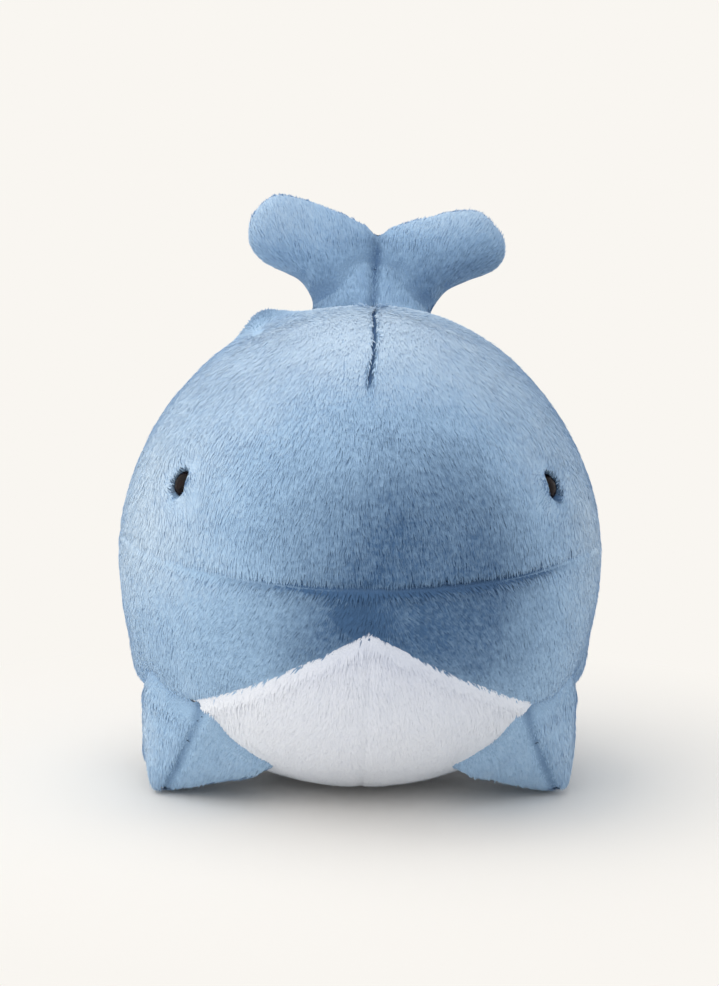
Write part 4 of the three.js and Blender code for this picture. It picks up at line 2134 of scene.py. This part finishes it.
    def build_panel(
        self, panel: LimbPanel, sheet: Sheet, seed: int, finishes: Finishes
    ) -> None:
        """Makes one panel's backing and pile as one piece.

        Args:
            panel: The panel.
            sheet: Its plush.
            seed: Picks the tufts' places.
            finishes: The toy's materials.
        """
        piece = plush_piece(
            name=f"{panel.node}_plush",
            sheet=sheet,
            cloth=sheet,
            pile=self.pile,
            thickness=self.backing_thickness,
            seed=seed,
            finishes=finishes.blue,
        )
        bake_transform(piece)
        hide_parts(panel.node)


TAIL_LEAN = 4.1  # how far the tail leans to the right, in degrees


@dataclass
class Tail(Limb):
    """The tail: its nap fans out from a place low in the stem to the tips of the flukes."""

    fan_height: float = 40.0  # of that place above the body's widest level
    fan_back: float = 105.0
    fan_back_share: float = 0.35  # of the fan's spread, to the front and the back

    def flow(self, points: Array, normals: Array) -> Array:
        """The way the nap lies: away from the place low in the stem.

        Args:
            points: The limb's points.
            normals: Their normals.

        Returns:
            A direction in the surface for each point.
        """
        across = math.sin(math.radians(TAIL_LEAN)) * self.fan_height
        away = points - np.array([across, self.fan_back, self.form.middle + self.fan_height])
        away[:, 1] *= self.fan_back_share
        return along_surface(unit(away), normals)


def seam_plane(places: list[Triple], side: Side, form: BodyForm, groove: float) -> Cut:
    """The plane through three places by a flipper, facing outward.

    Args:
        places: Shares of the body's half width, half length and widest level.
        side: Which flipper.
        form: The body.
        groove: How deep the thread draws the cover in.

    Returns:
        The cut along that plane.
    """
    scale = np.array([side.value * form.width / 2.0, form.length / 2.0, form.middle])
    front, foot, rear = (np.array(place) * scale for place in places)
    normal = unit(np.cross(foot - front, rear - front))
    if normal[0] * side.value < 0:
        normal = -normal
    return Cut(tuple(front), tuple(normal), groove)


def flipper(side: Side, form: BodyForm, pile: Pile) -> Limb:
    """Describes one flipper.

    Args:
        side: Which flipper.
        form: The body that it is sewn to.
        pile: Its pile.

    Returns:
        The limb, ready to build.
    """
    name = f"flipper_{side.word}"
    out = side.value
    front, foot, rear = (0.632, -0.644, 0.457), (0.816, -0.267, 0.0), (0.848, 0.185, 0.293)
    # painted light on the outer panels, where light from the left falls, more on the left flipper
    paler = 0.45 if side is Side.LEFT else 0.15
    return Limb(
        body=name,
        panels=[LimbPanel(f"{name}_outer", (1,)), LimbPanel(f"{name}_inner", (-1,))],
        cuts=[seam_plane([front, foot, rear], side, form, 1.2)],
        voxel=2.3,
        soften=4,
        sink=2.2,
        seam_tone=-0.24,
        marks=[BrushMark((out * 122.0, -28.0, 34.0), 26.0, paler)],
        shoves=[
            Shove((out * 116.0, -26.0, 0.0), 12.0, (out * -7.0, 0.0, 4.0)),
            Shove((out * 120.0, -18.0, 64.0), 14.0, (out * 2.5, 0.0, 0.5)),
        ],
        form=form,
        pile=pile,
        seed=300 + 10 * (side is Side.RIGHT),
        blend_start=(out * 107.0, -20.0, 82.0),
        blend_end=(out * 110.0, -20.0, 54.0),
    )


def tail(form: BodyForm, pile: Pile) -> Tail:
    """Describes the tail.

    Args:
        form: The body that it is sewn to.
        pile: Its pile.

    Returns:
        The limb, ready to build.
    """
    tilt = math.radians(TAIL_LEAN)
    middle = (0.0, 0.83 * form.length / 2.0, form.middle)
    edge_seam = Cut(middle, (0.0, 1.0, 0.0), 0.8)
    crease = Cut(middle, (math.cos(tilt), 0.0, -math.sin(tilt)), 2.2)
    signs = {
        "front_left": (-1, -1),
        "front_right": (-1, 1),
        "back_left": (1, -1),
        "back_right": (1, 1),
    }
    return Tail(
        body="tail",
        panels=[LimbPanel(f"tail_{key}", value) for key, value in signs.items()],
        cuts=[edge_seam, crease],
        form=form,
        pile=pile,
        seed=400,
        blend_start=(0.0, 86.0, 206.0),
        blend_end=(0.0, 104.0, 236.0),
        sink=9.0,
        sink_reach=9.0,
        rim_trim=0.6,
        # painted light and shade: paler tops of the flukes, darker lower halves and a darker root
        marks=[
            BrushMark((-33.8, 104.0, 259.5), 20.0, -0.17),
            BrushMark((-14.2, 104.0, 249.7), 16.0, -0.12),
            BrushMark((38.8, 104.0, 250.3), 20.0, -0.32),
            BrushMark((66.6, 104.0, 261.7), 18.0, -0.28),
            BrushMark((11.1, 100.0, 264.6), 12.0, -0.15),
            BrushMark((8.0, 96.0, 238.0), 26.0, -0.02),
            BrushMark((-18.0, 96.0, 230.0), 20.0, -0.28),
            BrushMark((-45.2, 104.0, 289.8), 28.0, 0.25),
            BrushMark((57.8, 104.0, 287.1), 28.0, 0.22),
        ],
        shoves=[
            Shove((52.7, 112.0, 290.7), 16.0, (0.0, 0.0, 2.2)),
            Shove((84.0, 112.0, 289.0), 11.0, (-1.5, 0.0, -3.6)),
            Shove((70.2, 112.0, 253.5), 16.0, (0.0, 0.0, 3.2)),
            Shove((-21.3, 112.0, 297.1), 12.0, (0.0, 0.0, 1.8)),
        ],
    )


# Floor, light and camera


@dataclass(frozen=True)
class Lamp:
    """A square soft light that looks at the toy. Its place and size are in metres."""

    name: str
    place: Triple
    size: float
    power: float
    colour: Triple
    target: Triple = (0.0, 0.0, 0.14)

    def build(self) -> None:
        """Makes the light."""
        lamp = bpy.data.lights.new(self.name, "AREA")
        lamp.color = self.colour
        lamp.size = self.size
        lamp.energy = self.power
        light = bpy.data.objects.new(self.name, lamp)
        light.location = self.place
        light.rotation_mode = "QUATERNION"
        ahead = Vector(self.target) - Vector(self.place)
        light.rotation_quaternion = ahead.to_track_quat("-Z", "Y")
        bpy.context.scene.collection.objects.link(light)


@dataclass
class Studio:
    """A plain pale floor, soft light and the camera. Angles are in degrees."""

    lens: float = 85.0
    sensor: float = 36.0  # along the picture's long side
    distance: float = 1210.0
    aim: Triple = (-0.7, 0.0, 149.0)
    clip: Span = (0.05, 100.0)  # in metres
    elevation: float = 8.0
    yaw: float = 2.0
    roll: float = 0.7
    backdrop: Colour = (249, 246, 241)
    floor_size: float = 60.0  # in metres, as the next two
    glow_start: float = 0.14  # how far from the toy the floor starts to fade into the backdrop
    glow_full: float = 0.34
    room_colour: Triple = (0.96, 0.985, 1.02)
    room_strength: float = 0.63
    lamps: tuple[Lamp, ...] = (
        Lamp("key", (-1.5, -0.6, 0.9), 2.2, 15.8, (1.0, 0.94, 0.86)),
        Lamp("fill", (1.6, -0.3, 0.7), 1.5, 1.8, (1.0, 0.97, 0.93)),
        Lamp("top", (-0.2, 0.1, 1.7), 1.4, 9.0, (1.0, 0.97, 0.93)),
    )

    def build(self) -> None:
        """Makes the floor, the world, the lights and the camera."""
        self.build_floor()
        self.build_world()
        for lamp in self.lamps:
            lamp.build()
        self.build_camera()

    def build_floor(self) -> None:
        """Makes the floor, which fades into the backdrop away from the toy."""
        mesh = bpy.data.meshes.new("floor")
        far = self.floor_size / 2.0
        corners = [(-far, -far, 0), (far, -far, 0), (far, far, 0), (-far, far, 0)]
        mesh.from_pydata(corners, [], [(0, 1, 2, 3)])
        floor = bpy.data.objects.new("floor", mesh)
        bpy.context.scene.collection.objects.link(floor)
        sheet = MaterialSheet("floor_paper")
        paint = (*linear(*self.backdrop), 1.0)
        sheet.put("Base Color", paint)
        sheet.put("Roughness", 0.9)
        glow = sheet.add("ShaderNodeEmission")
        glow.inputs["Color"].default_value = paint
        away = sheet.add("ShaderNodeVectorMath", operation="LENGTH")
        sheet.join(sheet.add("ShaderNodeTexCoord").outputs["Object"], away.inputs[0])
        share = sheet.spread(away.outputs["Value"], 0.0, 1.0, self.glow_start, self.glow_full)
        share = sheet.combined("MULTIPLY", share, sheet.seen())
        look = sheet.mixed(share, sheet.shader.outputs["BSDF"], glow.outputs["Emission"])
        sheet.join(look, sheet.tree.nodes["Material Output"].inputs["Surface"])
        mesh.materials.append(sheet.material)

    def build_world(self) -> None:
        """Makes the even light of the room and the pale backdrop that the camera sees."""
        world = bpy.data.worlds.new("room")
        bpy.context.scene.world = world
        world.use_nodes = True
        sheet = NodeSheet(world.node_tree)
        light = sheet.tree.nodes["Background"]
        light.inputs["Color"].default_value = (*self.room_colour, 1.0)
        light.inputs["Strength"].default_value = self.room_strength
        paper = sheet.add("ShaderNodeBackground")
        paper.inputs["Color"].default_value = (*linear(*self.backdrop), 1.0)
        look = sheet.mixed(
            sheet.seen(), light.outputs["Background"], paper.outputs["Background"]
        )
        sheet.join(look, sheet.tree.nodes["World Output"].inputs["Surface"])

    def build_camera(self) -> None:
        """Makes the camera at the photograph's angle."""
        camera = bpy.data.cameras.new("camera")
        camera.lens = self.lens
        camera.sensor_width = self.sensor
        camera.clip_start, camera.clip_end = self.clip
        holder = bpy.data.objects.new("camera", camera)
        bpy.context.scene.collection.objects.link(holder)
        yaw, tilt, roll = (math.radians(a) for a in (self.yaw, self.elevation, self.roll))
        level_share = math.cos(tilt)
        ahead = Vector((math.sin(yaw) * level_share, math.cos(yaw) * level_share, -math.sin(tilt)))
        level = ahead.cross(Vector((0.0, 0.0, 1.0))).normalized()
        upright = level.cross(ahead)
        right = level * math.cos(roll) + upright * math.sin(roll)
        up = upright * math.cos(roll) - level * math.sin(roll)
        place = MM * (Vector(self.aim) - self.distance * ahead)
        columns = Matrix((right, up, -ahead)).transposed().to_4x4()
        holder.matrix_world = Matrix.Translation(place) @ columns
        bpy.context.scene.camera = holder


def main() -> None:
    """Builds the toy piece by piece, then the floor, the lights and the camera."""
    logging.basicConfig(level=logging.INFO, format="%(name)s: %(message)s")
    bpy.context.scene.view_settings.view_transform = "Standard"
    finishes = Finishes()
    form = BodyForm()
    pile = Pile()
    Body(form, pile).build(finishes)
    for side in Side:
        flipper(side, form, pile).build(finishes)
    tail(form, pile).build(finishes)
    Studio().build()


if __name__ == "__main__":
    main()
